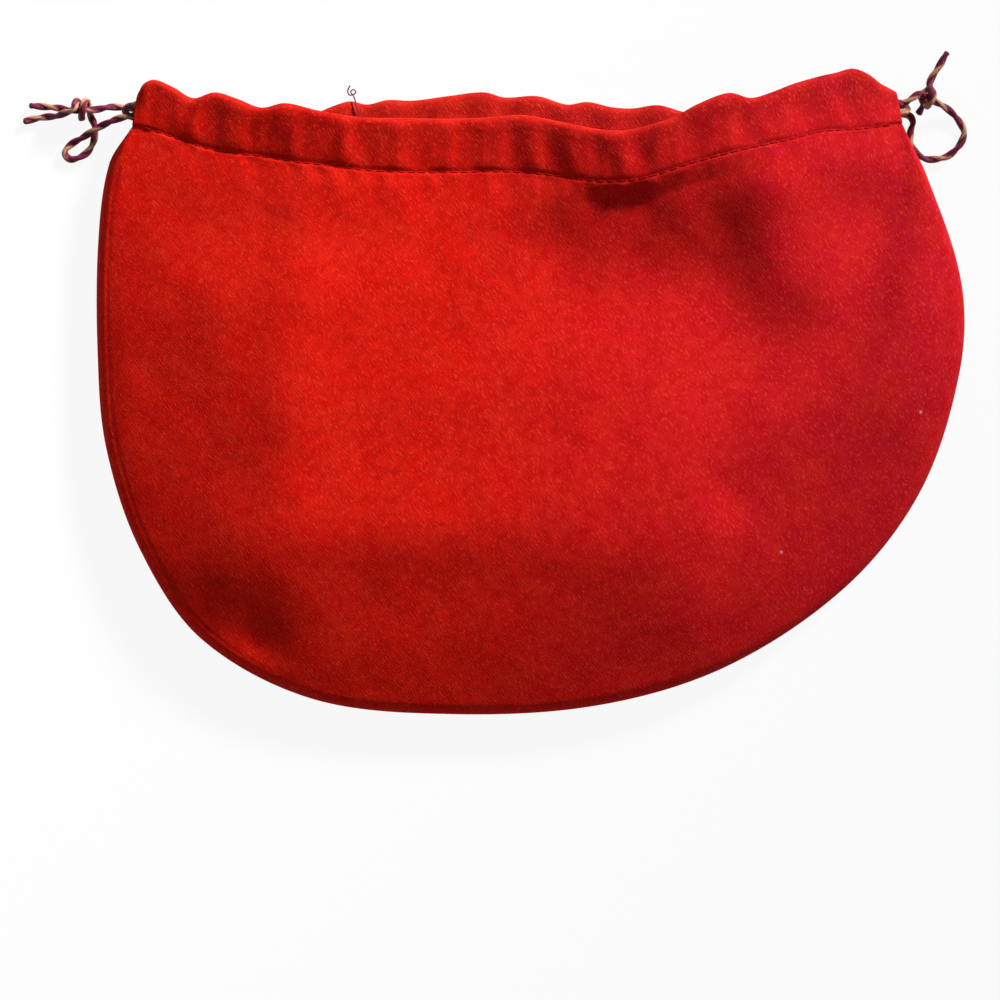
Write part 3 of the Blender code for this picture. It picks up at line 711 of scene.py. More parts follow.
class SharedEffects:
    """Node groups that more than one finish uses, each built once."""

    WALE_PITCH = 0.00066
    FLOAT_LENGTH = 0.0011
    WALE_SLANT = math.radians(52)

    def __init__(self) -> None:
        """Build the weave and the fluff."""
        self.twill = self.build_twill()
        self.fluff = self.build_fluff()

    def build_twill(self) -> bpy.types.NodeTree:
        """A twill weave: slanting wales, each broken into short floats.

        The wale's height is a cosine across its slant. A second cosine along the slant, shifted by
        half a float from wale to wale, breaks it into floats. Noise bends both a little.

        Returns:
            The group, with the weave's height and how deep in a valley a spot lies.
        """
        tree, n, put_in, put_out = make_group(
            "twill_weave",
            {"Place": None, "Pitch": self.WALE_PITCH, "Float": self.FLOAT_LENGTH, "Bend": 0.75},
            {"Height": "NodeSocketFloat", "Valley": "NodeSocketFloat"},
        )
        place, pitch, length, most_bend = put_in.outputs[:4]
        parts = n.add("ShaderNodeSeparateXYZ")
        n.feed(parts.inputs[0], n.turned(place, self.WALE_SLANT))
        bend = n.math("MULTIPLY", n.math("SUBTRACT", n.noise(place, 760.0), 0.5), most_bend)
        straight = n.math("DIVIDE", parts.outputs["Y"], pitch)
        across = n.math("ADD", straight, n.math("MULTIPLY", bend, 3.0))
        wale = n.math("COSINE", n.math("MULTIPLY", across, 2 * math.pi))
        step = n.math("MULTIPLY", n.math("FLOOR", n.math("ADD", across, 0.5)), 0.5)
        along = n.math("ADD", n.math("DIVIDE", parts.outputs["X"], length), n.math("ADD", step, bend))
        broken = n.math("COSINE", n.math("MULTIPLY", along, 2 * math.pi))
        height = n.math("ADD", n.math("MULTIPLY", wale, 0.36), n.math("MULTIPLY", broken, 0.14))
        n.feed(put_out.inputs["Height"], n.math("ADD", height, 0.5))
        n.feed(put_out.inputs["Valley"], n.span(wale, -1.0, 0.1, 1.0, 0.0))
        return tree

    def build_fluff(self) -> bpy.types.NodeTree:
        """Short fibres that stand out of cloth: pale flecks, soft mottling and broad, slow patches.

        Returns:
            The group, with a mask for each of the three and the bare fine noise as fuzz.
        """
        tree, n, put_in, put_out = make_group(
            "fluff",
            {"Place": None, "Speck Scale": 2100.0, "Mottle Scale": 430.0},
            dict.fromkeys(("Specks", "Mottle", "Patch", "Fuzz"), "NodeSocketFloat"),
        )
        place, speck_scale, mottle_scale = put_in.outputs[:3]
        drawn_out = n.scaled(n.turned(place, self.WALE_SLANT), (0.45, 1.0, 1.0))
        fine = n.noise(drawn_out, speck_scale, 1.0)
        n.feed(put_out.inputs["Specks"], n.span(fine, 0.54, 0.74, 0.0, 1.0))
        n.feed(put_out.inputs["Mottle"], n.span(n.noise(place, mottle_scale, 4.0), 0.38, 0.64, 0.0, 1.0))
        n.feed(put_out.inputs["Patch"], n.span(n.noise(place, 95.0, 5.0), 0.36, 0.66, 0.0, 1.0))
        n.feed(put_out.inputs["Fuzz"], fine)
        return tree


def start_material(
    name: str, roughness: float, specular: float
) -> tuple[bpy.types.Material, Nodes, bpy.types.Node]:
    """Start a material that is not metal, with its constants on the shader's own sockets.

    Args:
        name: The material's name.
        roughness: How matt it is.
        specular: How strongly its surface shines.

    Returns:
        The material, its node helper and its shader.
    """
    material = bpy.data.materials.new(name)
    material.use_nodes = True
    shader = material.node_tree.nodes["Principled BSDF"]
    shader.inputs["Roughness"].default_value = roughness
    shader.inputs["Specular IOR Level"].default_value = specular
    shader.inputs["Metallic"].default_value = 0.0
    return material, Nodes(material.node_tree), shader


@dataclass(frozen=True)
class TwillFinish:
    """Fine red twill with a soft, matt face.

    The colour drifts from the left one to a darker, cooler right one: painted shade and painted cool light.
    Each tint lies over it with its own share.
    """

    name: str
    # From the left colour to the right one: the darker, cooler right end is painted shade and painted cool
    # light.
    left_color: tuple = (0.700, 0.0070, 0.0020)
    shaded_right_color: tuple = (0.505, 0.0052, 0.0230)
    speck_color: tuple = (0.82, 0.060, 0.022)
    bloom_color: tuple = (0.71, 0.022, 0.008)
    # Darker tone for the random mottle, and painted shade in the weave's valleys.
    mottle_and_valley_shade_color: tuple = (0.47, 0.0008, 0.0010)
    worn_color: tuple = (0.76, 0.024, 0.012)
    # Painted shade: darkens the casing towards the rim.
    casing_shade_color: tuple = (0.02, 0.0, 0.0)
    lint_color: tuple = (0.72, 0.34, 0.32)
    bloom_share: float = 0.42
    mottle_share: float = 0.50
    valley_shade_share: float = 0.34
    casing_shade_share: float = 0.34
    speck_share: float = 0.42
    worn_share: float = 0.35
    lint_share: float = 0.75
    drift: tuple = (-0.02, 0.10)
    lint_reach: tuple = (0.15 * MM, 0.55 * MM)
    roughness: float = 0.80
    specular: float = 0.06
    bump: float = 0.20
    bump_height: float = 0.00012
    lint: tuple = ()

    def make(self, effects: SharedEffects) -> bpy.types.Material:
        """Build the material.

        Args:
            effects: The shared node groups.

        Returns:
            The finished material.
        """
        material, n, shader = start_material(self.name, self.roughness, self.specular)
        place = n.object_place()
        twill = n.add("ShaderNodeGroup", node_tree=effects.twill)
        n.feed(twill.inputs["Place"], place)
        fluff = n.add("ShaderNodeGroup", node_tree=effects.fluff)
        n.feed(fluff.inputs["Place"], place)
        parts = n.add("ShaderNodeSeparateXYZ")
        n.feed(parts.inputs[0], place)
        # Painted shade and painted cool light: the colour darkens and cools towards the right.
        drift = n.span(parts.outputs["X"], *self.drift, 0.0, 1.0)
        color = n.mix(drift, (*self.left_color, 1), (*self.shaded_right_color, 1))
        for mask, share, tint in (
            (fluff.outputs["Patch"], self.bloom_share, self.bloom_color),
            (fluff.outputs["Mottle"], self.mottle_share, self.mottle_and_valley_shade_color),
            # Painted shade in the weave's valleys.
            (twill.outputs["Valley"], self.valley_shade_share, self.mottle_and_valley_shade_color),
            # Painted shade on the casing, darker towards the rim.
            (n.stored("casing_shade"), self.casing_shade_share, self.casing_shade_color),
            (fluff.outputs["Specks"], self.speck_share, self.speck_color),
            (n.stored("rub"), self.worn_share, self.worn_color),
        ):
            color = n.mix(n.math("MULTIPLY", mask, share), color, (*tint, 1))
        for spot in self.lint:
            away = n.add("ShaderNodeVectorMath", operation="DISTANCE")
            n.feed(away.inputs[0], n.scaled(place, (1.0, 1.0, 0.0)))
            away.inputs[1].default_value = (*spot, 0.0)
            near = n.span(away.outputs["Value"], *self.lint_reach, self.lint_share, 0.0)
            color = n.mix(near, color, (*self.lint_color, 1))
        n.feed(shader.inputs["Base Color"], color)
        rough = n.span(twill.outputs["Height"], 0.0, 1.0, self.roughness + 0.08, self.roughness - 0.06)
        n.feed(shader.inputs["Roughness"], rough)
        high = n.math("ADD", twill.outputs["Height"], n.math("MULTIPLY", fluff.outputs["Fuzz"], 0.8))
        n.bump(shader, high, self.bump, self.bump_height)
        return material


@dataclass(frozen=True)
class CordFinish:
    """Two twisted plies, one of deep maroon silk and one of pale gold."""

    name: str
    first_ply: tuple = (0.150, 0.0015, 0.034)
    second_ply: tuple = (0.50, 0.25, 0.13)
    # Painted shade in the crevice between the two plies.
    crevice_shade_color: tuple = (0.070, 0.002, 0.012)
    fibre_color: tuple = (0.60, 0.22, 0.24)
    first_share: float = 0.70
    crevice_shade_share: float = 0.45
    fibre_share: float = 0.07
    fibre_turns: float = 26.0
    fibre_lean: float = 1500.0
    held_turns: float = 105.0
    is_held: bool = False

    def make(self, effects: SharedEffects) -> bpy.types.Material:
        """Build the material.

        A free cord brings its own map: how far round its plies each spot lies, and how far along.
        A cord that is held in the casings has none, so its plies follow its place along the mouth.

        Args:
            effects: The shared node groups.

        Returns:
            The finished material.
        """
        material, n, shader = start_material(self.name, 0.5, 0.22)
        if self.is_held:
            parts = n.add("ShaderNodeSeparateXYZ")
            n.feed(parts.inputs[0], n.object_place())
            along = n.math("ADD", parts.outputs["X"], parts.outputs["Y"])
            around = n.math("MULTIPLY", n.math("ADD", along, parts.outputs["Z"]), self.held_turns)
        else:
            along = n.stored("run")
            around = n.stored("ply_turn")
        ply = n.math("COSINE", n.math("MULTIPLY", around, 2 * math.pi))
        share = n.span(ply, self.first_share - 0.15, self.first_share + 0.15, 0.0, 1.0)
        color = n.mix(share, (*self.first_ply, 1), (*self.second_ply, 1))
        # Painted shade: darker where the two plies meet.
        crevice_shade = n.span(n.math("ABSOLUTE", ply), 0.0, 0.45, self.crevice_shade_share, 0.0)
        shaded = n.mix(crevice_shade, color, (*self.crevice_shade_color, 1))
        lean = n.math("MULTIPLY", along, self.fibre_lean)
        slant = n.math("ADD", n.math("MULTIPLY", around, self.fibre_turns), lean)
        fibre = n.math("COSINE", n.math("MULTIPLY", slant, 2 * math.pi))
        on_fibre = n.math("MULTIPLY", n.span(fibre, -1.0, 1.0, 0.0, 1.0), self.fibre_share)
        lighter = n.mix(on_fibre, shaded, (*self.fibre_color, 1))
        n.feed(shader.inputs["Base Color"], lighter)
        fluff = n.add("ShaderNodeGroup", node_tree=effects.fluff)
        n.feed(fluff.inputs["Place"], n.object_place())
        n.feed(shader.inputs["Roughness"], n.span(fluff.outputs["Mottle"], 0.0, 1.0, 0.42, 0.58))
        n.bump(shader, fibre, 0.5, 0.00006)
        return material


@dataclass(frozen=True)
class ThreadFinish:
    """Sewing thread of one colour with a fine twist."""

    name: str
    color: tuple
    twist_scale: float = 5200.0
    twist_shade: float = 0.55

    def make(self, effects: SharedEffects) -> bpy.types.Material:
        """Build the material from the object's own coordinates.

        Args:
            effects: The shared node groups.

        Returns:
            The finished material.
        """
        material, n, shader = start_material(self.name, 0.75, 0.06)
        fluff = n.add("ShaderNodeGroup", node_tree=effects.fluff)
        n.feed(fluff.inputs["Place"], n.object_place())
        fluff.inputs["Speck Scale"].default_value = self.twist_scale
        dark = tuple(self.twist_shade * part for part in self.color)
        twisted = n.mix(fluff.outputs["Fuzz"], (*dark, 1), (*self.color, 1))
        n.feed(shader.inputs["Base Color"], twisted)
        n.bump(shader, fluff.outputs["Fuzz"], 0.4, 0.00005)
        return material


# The camera, the lamps and the floor


@dataclass(frozen=True)
class Studio:
    """A camera straight above, a low lamp at the upper right, a dim even sky and a white floor."""

    view_width: float = 250 * MM
    view_centre: tuple = (-7.5 * MM, -26.9 * MM)
    camera_height: float = 0.95
    sensor: float = 36.0
    subject_height: float = 12 * MM
    lamp_heading: float = 47.0
    lamp_rise: float = 23.0
    lamp_distance: float = 2.5
    lamp_size: float = 0.60
    lamp_power: float = 2.2
    lamp_spread: float = 15.0
    lamp_aim: tuple = (-270 * MM, -40 * MM)
    sky: float = 0.19
    floor_reach: float = 3.0
    floor_glow: float = 0.92

    def build(self) -> None:
        """Make the camera, the lamps, the sky and the floor."""
        self.camera()
        self.lamps()
        self.floor()

    def camera(self) -> None:
        """Place the camera so that the photograph's width is the view's width at the cloth."""
        data = bpy.data.cameras.new("camera")
        away = self.camera_height - self.subject_height
        data.sensor_width = self.sensor
        data.lens = self.sensor * away / self.view_width
        data.clip_start, data.clip_end = 0.01, 20
        thing = bpy.data.objects.new("camera", data)
        thing.location = (*self.view_centre, self.camera_height)
        bpy.context.scene.collection.objects.link(thing)
        bpy.context.scene.camera = thing

    def lamps(self) -> None:
        """Place the lamp and the sky."""
        heading, rise = math.radians(self.lamp_heading), math.radians(self.lamp_rise)
        way = Vector((math.cos(rise) * math.cos(heading), math.cos(rise) * math.sin(heading), math.sin(rise)))
        data = bpy.data.lights.new("window", "AREA")
        data.shape = "DISK"
        data.size = self.lamp_size
        data.energy = self.lamp_power
        thing = bpy.data.objects.new("window", data)
        data.spread = math.radians(self.lamp_spread)
        thing.location = Vector((*self.lamp_aim, 0)) + way * self.lamp_distance
        thing.rotation_euler = way.to_track_quat("Z", "Y").to_euler()
        bpy.context.scene.collection.objects.link(thing)
        world = bpy.data.worlds.new("room")
        world.use_nodes = True
        world.node_tree.nodes["Background"].inputs["Color"].default_value = (1, 1, 1, 1)
        world.node_tree.nodes["Background"].inputs["Strength"].default_value = self.sky
        bpy.context.scene.world = world
        bpy.context.scene.view_settings.view_transform = "Standard"

    def floor(self) -> None:
        """A white floor that keeps a light shadow and shows nearly white to the camera."""
        book = MeshBook()
        reach = self.floor_reach
        corners = np.array([(-reach, -reach, 0), (reach, -reach, 0), (reach, reach, 0), (-reach, reach, 0)])
        book.polygon(book.add(corners))
        material, n, shader = start_material("floor_white", 0.9, 0.1)
        shader.inputs["Base Color"].default_value = (0.88, 0.88, 0.88, 1)
        glow = n.add("ShaderNodeEmission")
        glow.inputs["Strength"].default_value = 1.0
        path = n.add("ShaderNodeLightPath")
        seen = n.math("MAXIMUM", path.outputs["Is Camera Ray"], path.outputs["Is Glossy Ray"])
        seen = n.math("MAXIMUM", seen, path.outputs["Is Transmission Ray"])
        blend = n.add("ShaderNodeMixShader")
        n.feed(blend.inputs[0], n.math("MULTIPLY", seen, self.floor_glow))
        n.feed(blend.inputs[1], shader.outputs[0])
        n.feed(blend.inputs[2], glow.outputs[0])
        n.feed(material.node_tree.nodes["Material Output"].inputs["Surface"], blend.outputs[0])
        book.make("floor", material)


# The cords


@dataclass(frozen=True)
class CordRoute:
    """Where a free cord runs, and what is said of it."""

    name: str
    points: np.ndarray
    exit: np.ndarray
    far_end: str
    lay: str


class CordKind(Enum):
    """Which casing a cord comes out of, and which of its two lanes it lies in."""

    BACK_NEAR_RIM = (False, 1)
    BACK_NEAR_STITCHES = (False, -1)
    FRONT_NEAR_RIM = (True, 1)
    FRONT_NEAR_STITCHES = (True, -1)


@dataclass
class Drawcords:
    """The four free cord ends, as twisted two-ply tubes along the frame's own routes."""

    form: PouchForm
    ply_pitch: float = 9.5 * MM
    around: int = 28
    ply_radius_share: float = 0.70
    swell: float = 1.05
    kink_reach: float = 0.45 * MM
    lane_steps: int = 54
    coil_ease: float = 0.1 * MM
    coil_gap: float = 0.5 * MM
    round_end: float = 0.6
    upper_left: tuple = (
        (-3.0, 0.2, 2.0), (-6.5, 0.3, 2.3), (-10.0, -0.4, 3.0), (-13.3, -0.5, 3.2),
        (-16.6, -0.5, 2.6), (-19.5, 0.1, 1.4), (-23.0, 0.5, 1.0), (-27.2, 0.8, 1.0),
    )
    lower_left_start: tuple = (
        (-3.0, -2.7, 5.9), (-5.9, -3.5, 4.9), (-8.5, -4.6, 3.9), (-10.8, -5.8, 3.2),
        (-13.4, -7.3, 2.0), (-16.4, -8.9, 1.0), (-18.2, -11.0, 1.0), (-16.9, -12.8, 1.0),
        (-14.4, -12.3, 1.0), (-12.2, -10.8, 1.0), (-10.9, -8.4, 0.95), (-10.5, -5.8, 0.95),
        (-10.7, -3.8, 0.95), (-11.5, -2.2, 0.95),
    )
    knot_at_left: tuple = (-13.6, -0.5, 3.2)
    lower_left_end: tuple = (
        (-17.7, -1.4, 4.4), (-20.0, -2.0, 2.7), (-23.0, -2.1, 1.1), (-26.0, -2.6, 1.0),
        (-28.7, -3.3, 1.0),
    )
    right_loop: tuple = (
        (1.4, 0.1, 6.4), (3.1, 1.2, 6.5), (4.8, 2.2, 6.1), (6.6, 1.9, 5.4), (8.6, 0.9, 4.4),
        (10.6, 0.0, 3.2), (12.7, -1.1, 2.0), (14.6, -2.8, 1.2), (16.2, -4.9, 1.0),
        (16.9, -7.0, 1.0), (16.2, -9.3, 1.0), (14.7, -11.3, 1.0), (12.6, -12.9, 1.0),
        (9.8, -13.6, 1.0), (7.0, -13.5, 1.0), (4.7, -11.9, 0.95), (3.3, -9.2, 0.95),
        (3.4, -6.4, 1.0), (3.9, -4.4, 1.4), (3.2, -2.9, 1.8), (1.6, -2.4, 2.0),
    )
    right_tie_start: tuple = ((5.2, -2.4, 1.0), (5.9, -1.1, 1.2), (6.4, 0.2, 2.1))
    knot_at_right: tuple = (7.5, 1.5, 4.95)
    right_tie_end: tuple = (
        (8.7, 3.4, 1.9), (8.1, 5.0, 1.1), (8.6, 6.7, 1.0), (9.7, 8.5, 1.0), (10.9, 10.4, 1.0),
        (12.0, 12.4, 1.0), (12.8, 13.6, 1.0),
    )

    def lane_end(self, kind: CordKind, at_left: bool, inside: float = 0.0) -> np.ndarray:
        """The point of a cord's lane a given way inside the end of its casing.

        A lane runs midway between the stitching and the rim, half a cord and its clearance to
        one side, square to its heading.

        Args:
            kind: Which lane.
            at_left: Whether the left end is meant.
            inside: How far inside the end.

        Returns:
            The point.
        """
        is_front, side = kind.value
        form = self.form
        stitch, lip = mouth_columns(form, is_front, self.lane_steps)
        centre = (stitch + lip) / 2
        heading = np.gradient(centre, axis=0)
        heading /= np.linalg.norm(heading, axis=1)[:, None]
        spread = (form.cord + form.gap) / 2 + form.lane_ease
        spots = centre + side * spread * np.stack([-heading[:, 1], heading[:, 0]], axis=1)
        if is_front:
            heights = form.mouth_height(stitch[:, 0]) - form.casing_thickness / 2
        else:
            heights = np.full(len(spots), form.casing_thickness / 2)
        x = spots[0, 0] + inside if at_left else spots[-1, 0] - inside
        return np.array([x, np.interp(x, spots[:, 0], spots[:, 1]), np.interp(x, spots[:, 0], heights)])

    def tucked(self, kind: CordKind, at_left: bool) -> list[np.ndarray]:
        """Three points from inside the casing out to its end."""
        return [self.lane_end(kind, at_left, share * self.form.tucked_cord) for share in (1, 0.5, 0)]

    def wrap(self, centre: np.ndarray, heading: tuple, turns: float, start: float) -> np.ndarray:
        """A coil of one cord round another that runs along a heading through the centre.

        Args:
            centre: The middle of the coil.
            heading: Where the other cord runs.
            turns: How many turns, below 0 for turns the other way round.
            start: The angle at which the coil starts.

        Returns:
            The coil's points.
        """
        reach = self.form.cord + self.form.gap + self.coil_ease
        pitch = self.form.cord + self.coil_gap
        heading = np.array(heading) / np.linalg.norm(heading)
        side = np.array([-heading[1], heading[0], 0]) / np.hypot(heading[0], heading[1])
        up = np.cross(heading, side)
        share = np.linspace(0, 1, round(10 * abs(turns)) + 1)[:, None]
        angle = start + 2 * math.pi * turns * share
        slide = (share - 0.5) * abs(turns) * pitch
        return centre + slide * heading + reach * (np.cos(angle) * side + np.sin(angle) * up)

    def coiled(self, points: np.ndarray, count: int) -> np.ndarray:
        """A smooth route through points with a coil among them, its kinks rounded off."""
        return eased(smooth_curve(points, count), self.kink_reach)

    def routes(self) -> list[CordRoute]:
        """The four routes, through the same points as the frame's cords.

        The left knot's coil turns the other way round than in the frame, so that the cord comes
        into it without a kink.

        Returns:
            The routes, from the left to the right.
        """
        corner = self.lane_end(CordKind.BACK_NEAR_RIM, True) * [1, 1, 0]
        upper = np.vstack([
            self.tucked(CordKind.BACK_NEAR_RIM, True),
            corner + MM * np.array(self.upper_left),
        ])
        coil = self.wrap(corner + MM * np.array(self.knot_at_left), (-1, -0.02, 0), -1.5, -math.pi / 2)
        lower = np.vstack([
            self.tucked(CordKind.FRONT_NEAR_STITCHES, True),
            corner + MM * np.array(self.lower_left_start),
            coil,
            corner + MM * np.array(self.lower_left_end),
        ])
        corner = self.lane_end(CordKind.FRONT_NEAR_RIM, False) * [1, 1, 0]
        loop = np.vstack([
            self.tucked(CordKind.FRONT_NEAR_RIM, False),
            corner + MM * np.array(self.right_loop),
            self.tucked(CordKind.BACK_NEAR_STITCHES, False)[::-1],
        ])
        coil = self.wrap(corner + MM * np.array(self.knot_at_right), (2.0, -1.0, -0.9), 1, -math.pi / 2)
        tie = np.vstack([
            corner + MM * np.array(self.right_tie_start),
            coil,
            corner + MM * np.array(self.right_tie_end),
        ])
        return [
            CordRoute("left_cord_upper", smooth_curve(upper, 150), upper[0], "bare", "loose"),
            CordRoute("left_cord_lower", self.coiled(lower, 360), lower[0], "bare", "loose"),
            CordRoute("right_cord_loop", smooth_curve(loop, 280), loop[0], "object", "loose"),
            CordRoute("right_cord_tie", self.coiled(tie, 170), tie[0], "bare", "loose"),
        ]

    def tube(self, route: CordRoute, material: bpy.types.Material) -> tuple[bpy.types.Object, float]:
        """A two-ply twisted cord along a route.

        Its cut is the outline of two round plies side by side, which turns steadily along the
        cord. The outline's radius at an angle a from a ply is the ply's offset times cos a, plus
        the root of the ply's radius squared less the offset times sin a squared. The frame is
        carried along the route without twist by taking out each step's lean.

        Args:
            route: Where the cord runs.
            material: Its finish.

        Returns:
            The object, and the route's length.
        """
        line = route.points
        steps = np.linalg.norm(np.diff(line, axis=0), axis=1)
        run = np.concatenate([[0], np.cumsum(steps)])
        heading = np.gradient(line, axis=0)
        heading /= np.linalg.norm(heading, axis=1)[:, None]
        side = np.zeros_like(line)
        side[0] = np.cross(heading[0], [0, 0, 1.0])
        for i in range(1, len(line)):
            side[i] = side[i - 1] - heading[i] * (side[i - 1] @ heading[i])
            side[i] /= np.linalg.norm(side[i])
        side[0] /= np.linalg.norm(side[0])
        up = np.cross(heading, side)
        angle = np.linspace(0, 2 * math.pi, self.around, endpoint=False)
        turn = 2 * math.pi * run / self.ply_pitch
        away = (angle[None, :] - turn[:, None] + math.pi / 2) % math.pi - math.pi / 2
        radius = self.swell * self.form.cord / 2
        ply = self.ply_radius_share * radius
        offset = radius - ply
        reach = offset * np.cos(away) + np.sqrt(ply**2 - (offset * np.sin(away)) ** 2)
        tail = np.minimum(run, run[-1] - run)
        closing = np.clip(tail / (self.round_end * radius), 0.02, 1)
        reach = reach * np.sqrt(np.clip(1 - (1 - closing) ** 2, 0, 1))[:, None]
        sideways = np.cos(angle)[None, :, None] * side[:, None]
        upwards = np.sin(angle)[None, :, None] * up[:, None]
        rings = line[:, None] + reach[..., None] * (sideways + upwards)
        book = MeshBook()
        numbers = book.add(rings)
        book.grid(numbers, flip=True, wrap=True)
        book.polygon(numbers[0], flip=True)
        book.polygon(numbers[-1])
        thing = book.make(route.name + "_twisted", material)
        ply_turn = (angle[None, :] - turn[:, None]) / (2 * math.pi)
        store_numbers(thing, "ply_turn", ply_turn.ravel())
        store_numbers(thing, "run", np.repeat(run, self.around))
        return thing, float(run[-1])

    def build(self, material: bpy.types.Material) -> None:
        """Make and place all four cords.

        Args:
            material: The finish of free cord.
        """
        for route in self.routes():
            thing, length = self.tube(route, material)
            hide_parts(route.name)
            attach(thing, "root")
            LOG.info("%s: %.1f mm of two-ply cord", thing.name, length / MM)


def mouth_columns(form: PouchForm, is_front: bool, steps: int) -> tuple[np.ndarray, np.ndarray]:
    """Matching points on the stitching and on the rim of a panel, from left to right.

    Args:
        form: The pouch's form.
        is_front: Whether the front panel is meant.
        steps: How many columns less one.

    Returns:
        The points on the stitching, and those on the rim.
    """
    share = np.linspace(0, 1, steps + 1)
    left, right = form.ends()
    rim = form.rim(is_front)
    stitch_x = left[0] + share * (right[0] - left[0])
    stitch = np.stack([stitch_x, form.stitch_y(is_front, stitch_x)], axis=1)
    rim_x = rim[0, 0] + share * (rim[-1, 0] - rim[0, 0])
    return stitch, np.stack([rim_x, np.interp(rim_x, rim[:, 0], rim[:, 1])], axis=1)


# The cloth


@dataclass
class ClothPanel:
    """One cloth panel: its body, the seam allowance turned in, and the casing with its tunnel."""

    form: PouchForm
    is_front: bool
    seam_steps: int = 250
    mouth_steps: int = 380
    wide_rings: int = 58
    edge_rings: int = 16
    inner_rings: int = 14
    front_crook: float = 0.2 * MM
    back_crook: float = 1.8 * MM
    rim_tilt: float = 1.4 * MM
    tilt_depths: tuple = (9 * MM, 12 * MM)
    crumple: float = 0.16 * MM
    pucker_height: float = 0.16 * MM
    welt: float = 0.15 * MM
    welt_inset: float = 3 * MM
    swelling: tuple = (16.5 * MM, 41.8 * MM, 7.0 * MM, 1.2 * MM)
    # Where the painted shade on the casing starts and where it is full, above the stitching.
    casing_shade_span: tuple = (2.0 * MM, 12.0 * MM)

    def face(self, places: np.ndarray) -> np.ndarray:
        """Height of the outer face, with the small unevenness of soft cloth.

        The front has slow and fine waves, puckers and fullness below the stitching, a welt of the
        turned-in allowance along the left edge, and one soft swelling below the casing.

        Args:
            places: Places in the plane, one a row.

        Returns:
            The height at each place.
        """
        form = self.form
        if not self.is_front:
            return form.back_bottom(places)
        below = form.stitch_y(True, places[:, 0]) - places[:, 1]
        inset = form.inset(places)
        clear = smooth_step(inset, 1 * MM, 9 * MM) * smooth_step(below, 0.5 * MM, 6 * MM)
        slow = 0.13 * MM * soft_waves(places, 26 * MM, 7) + 0.05 * MM * soft_waves(places, 11 * MM, 11)
        fine = 0.022 * MM * soft_waves(places, 4.5 * MM, 5, 22)
        pucker = soft_waves(places * [1.0, 0.15], 5.2 * MM, 3)
        drawn = self.pucker_height * pucker * np.exp(-((below / (5 * MM)) ** 2))
        drawn = drawn * smooth_step(below, 0.3 * MM, 1.6 * MM)
        fill = (0.36 + 0.16 * smooth_step(below, 0.2 * MM, 1.0 * MM)) * MM
        fill = fill * (1 - smooth_step(below, 6 * MM, 20 * MM))
        pulled = form.gathers(places[:, 0], below) * smooth_step(below, 0, 5 * MM)
        pulled = pulled * smooth_step(inset, 0, form.held_edge)
        near_mouth = (drawn + fill) * smooth_step(inset, 2 * MM, 8 * MM) - 0.7 * pulled
        welt = -self.welt * np.exp(-(((inset - self.welt_inset) / (0.5 * MM)) ** 2))
        welt = welt * smooth_step(-places[:, 0], 55 * MM, 85 * MM) * smooth_step(below, 2 * MM, 10 * MM)
        x, y, reach, rise = self.swelling
        away = np.hypot(places[:, 0] - x, places[:, 1] - y)
        swelling = rise * np.exp(-0.5 * (away / reach) ** 2)
        return form.front_top(places) + (slow + fine + swelling) * clear + near_mouth + welt

    def section(self, depth: np.ndarray) -> tuple[np.ndarray, np.ndarray]:
        """The folded casing, cut across, for each column.

        Each point is (along from the stitching, share of the thickness inwards, share of a gather
        on the front, share of a gather on the back). The outer line dips at the stitching, runs
        over the casing, turns round at the rim in a half circle and comes back underneath.

        Args:
            depth: The casing's depth at each column.

        Returns:
            The outer line and the tunnel's line, columns by points by four.
        """
        form = self.form
        near, far = 1.3 * MM, depth - 1.7 * MM
        half = np.linspace(-math.pi / 2, math.pi / 2, 9)[1:-1]
        zero, one = np.zeros_like(depth), np.ones_like(depth)
        outer = [
            (0.3 * MM * one, 0.030 * one, 0 * one, zero),
            (0.7 * MM * one, 0.008 * one, 0.25 * one, zero),
        ]
        over = np.linspace(0, 1, 7)
        swell = np.sin(math.pi * np.clip(over, 0.12, 0.88)) ** 0.6
        outer += [(near + s * (far - near), zero, w * one, zero) for s, w in zip(over, swell)]
        outer += [(far + 1.7 * MM * math.cos(a), (0.5 + 0.5 * math.sin(a)) * one, zero, zero) for a in half]
        outer += [(far - s * (far - near), one, zero, w * one) for s, w in zip(over, swell)]
        outer += [(0.55 * MM * one, 0.80 * one, zero, zero)]
        ply = form.cloth / form.casing_thickness
        inner_far, inner_near = far - 0.3 * MM, near + 0.8 * MM
        across = inner_far - inner_near
        line = np.linspace(0, 1, 4)
        bulge = np.sin(math.pi * np.clip(line, 0.2, 0.8)) ** 0.6
        tunnel = [(near + 0.1 * MM * one, 0.42 * one, zero, zero)]
        tunnel += [(inner_near + s * across, ply * one, w * one, zero) for s, w in zip(line, bulge)]
        tunnel += [(depth - form.cloth, 0.38 * one, zero, zero), (depth - form.cloth, 0.62 * one, zero, zero)]
        tunnel += [(inner_far - s * across, (1 - ply) * one, zero, w * one) for s, w in zip(line, bulge)]
        tunnel += [(near + 0.1 * MM * one, 0.58 * one, zero, zero)]
        return np.moveaxis(np.array(outer), 2, 0), np.moveaxis(np.array(tunnel), 2, 0)

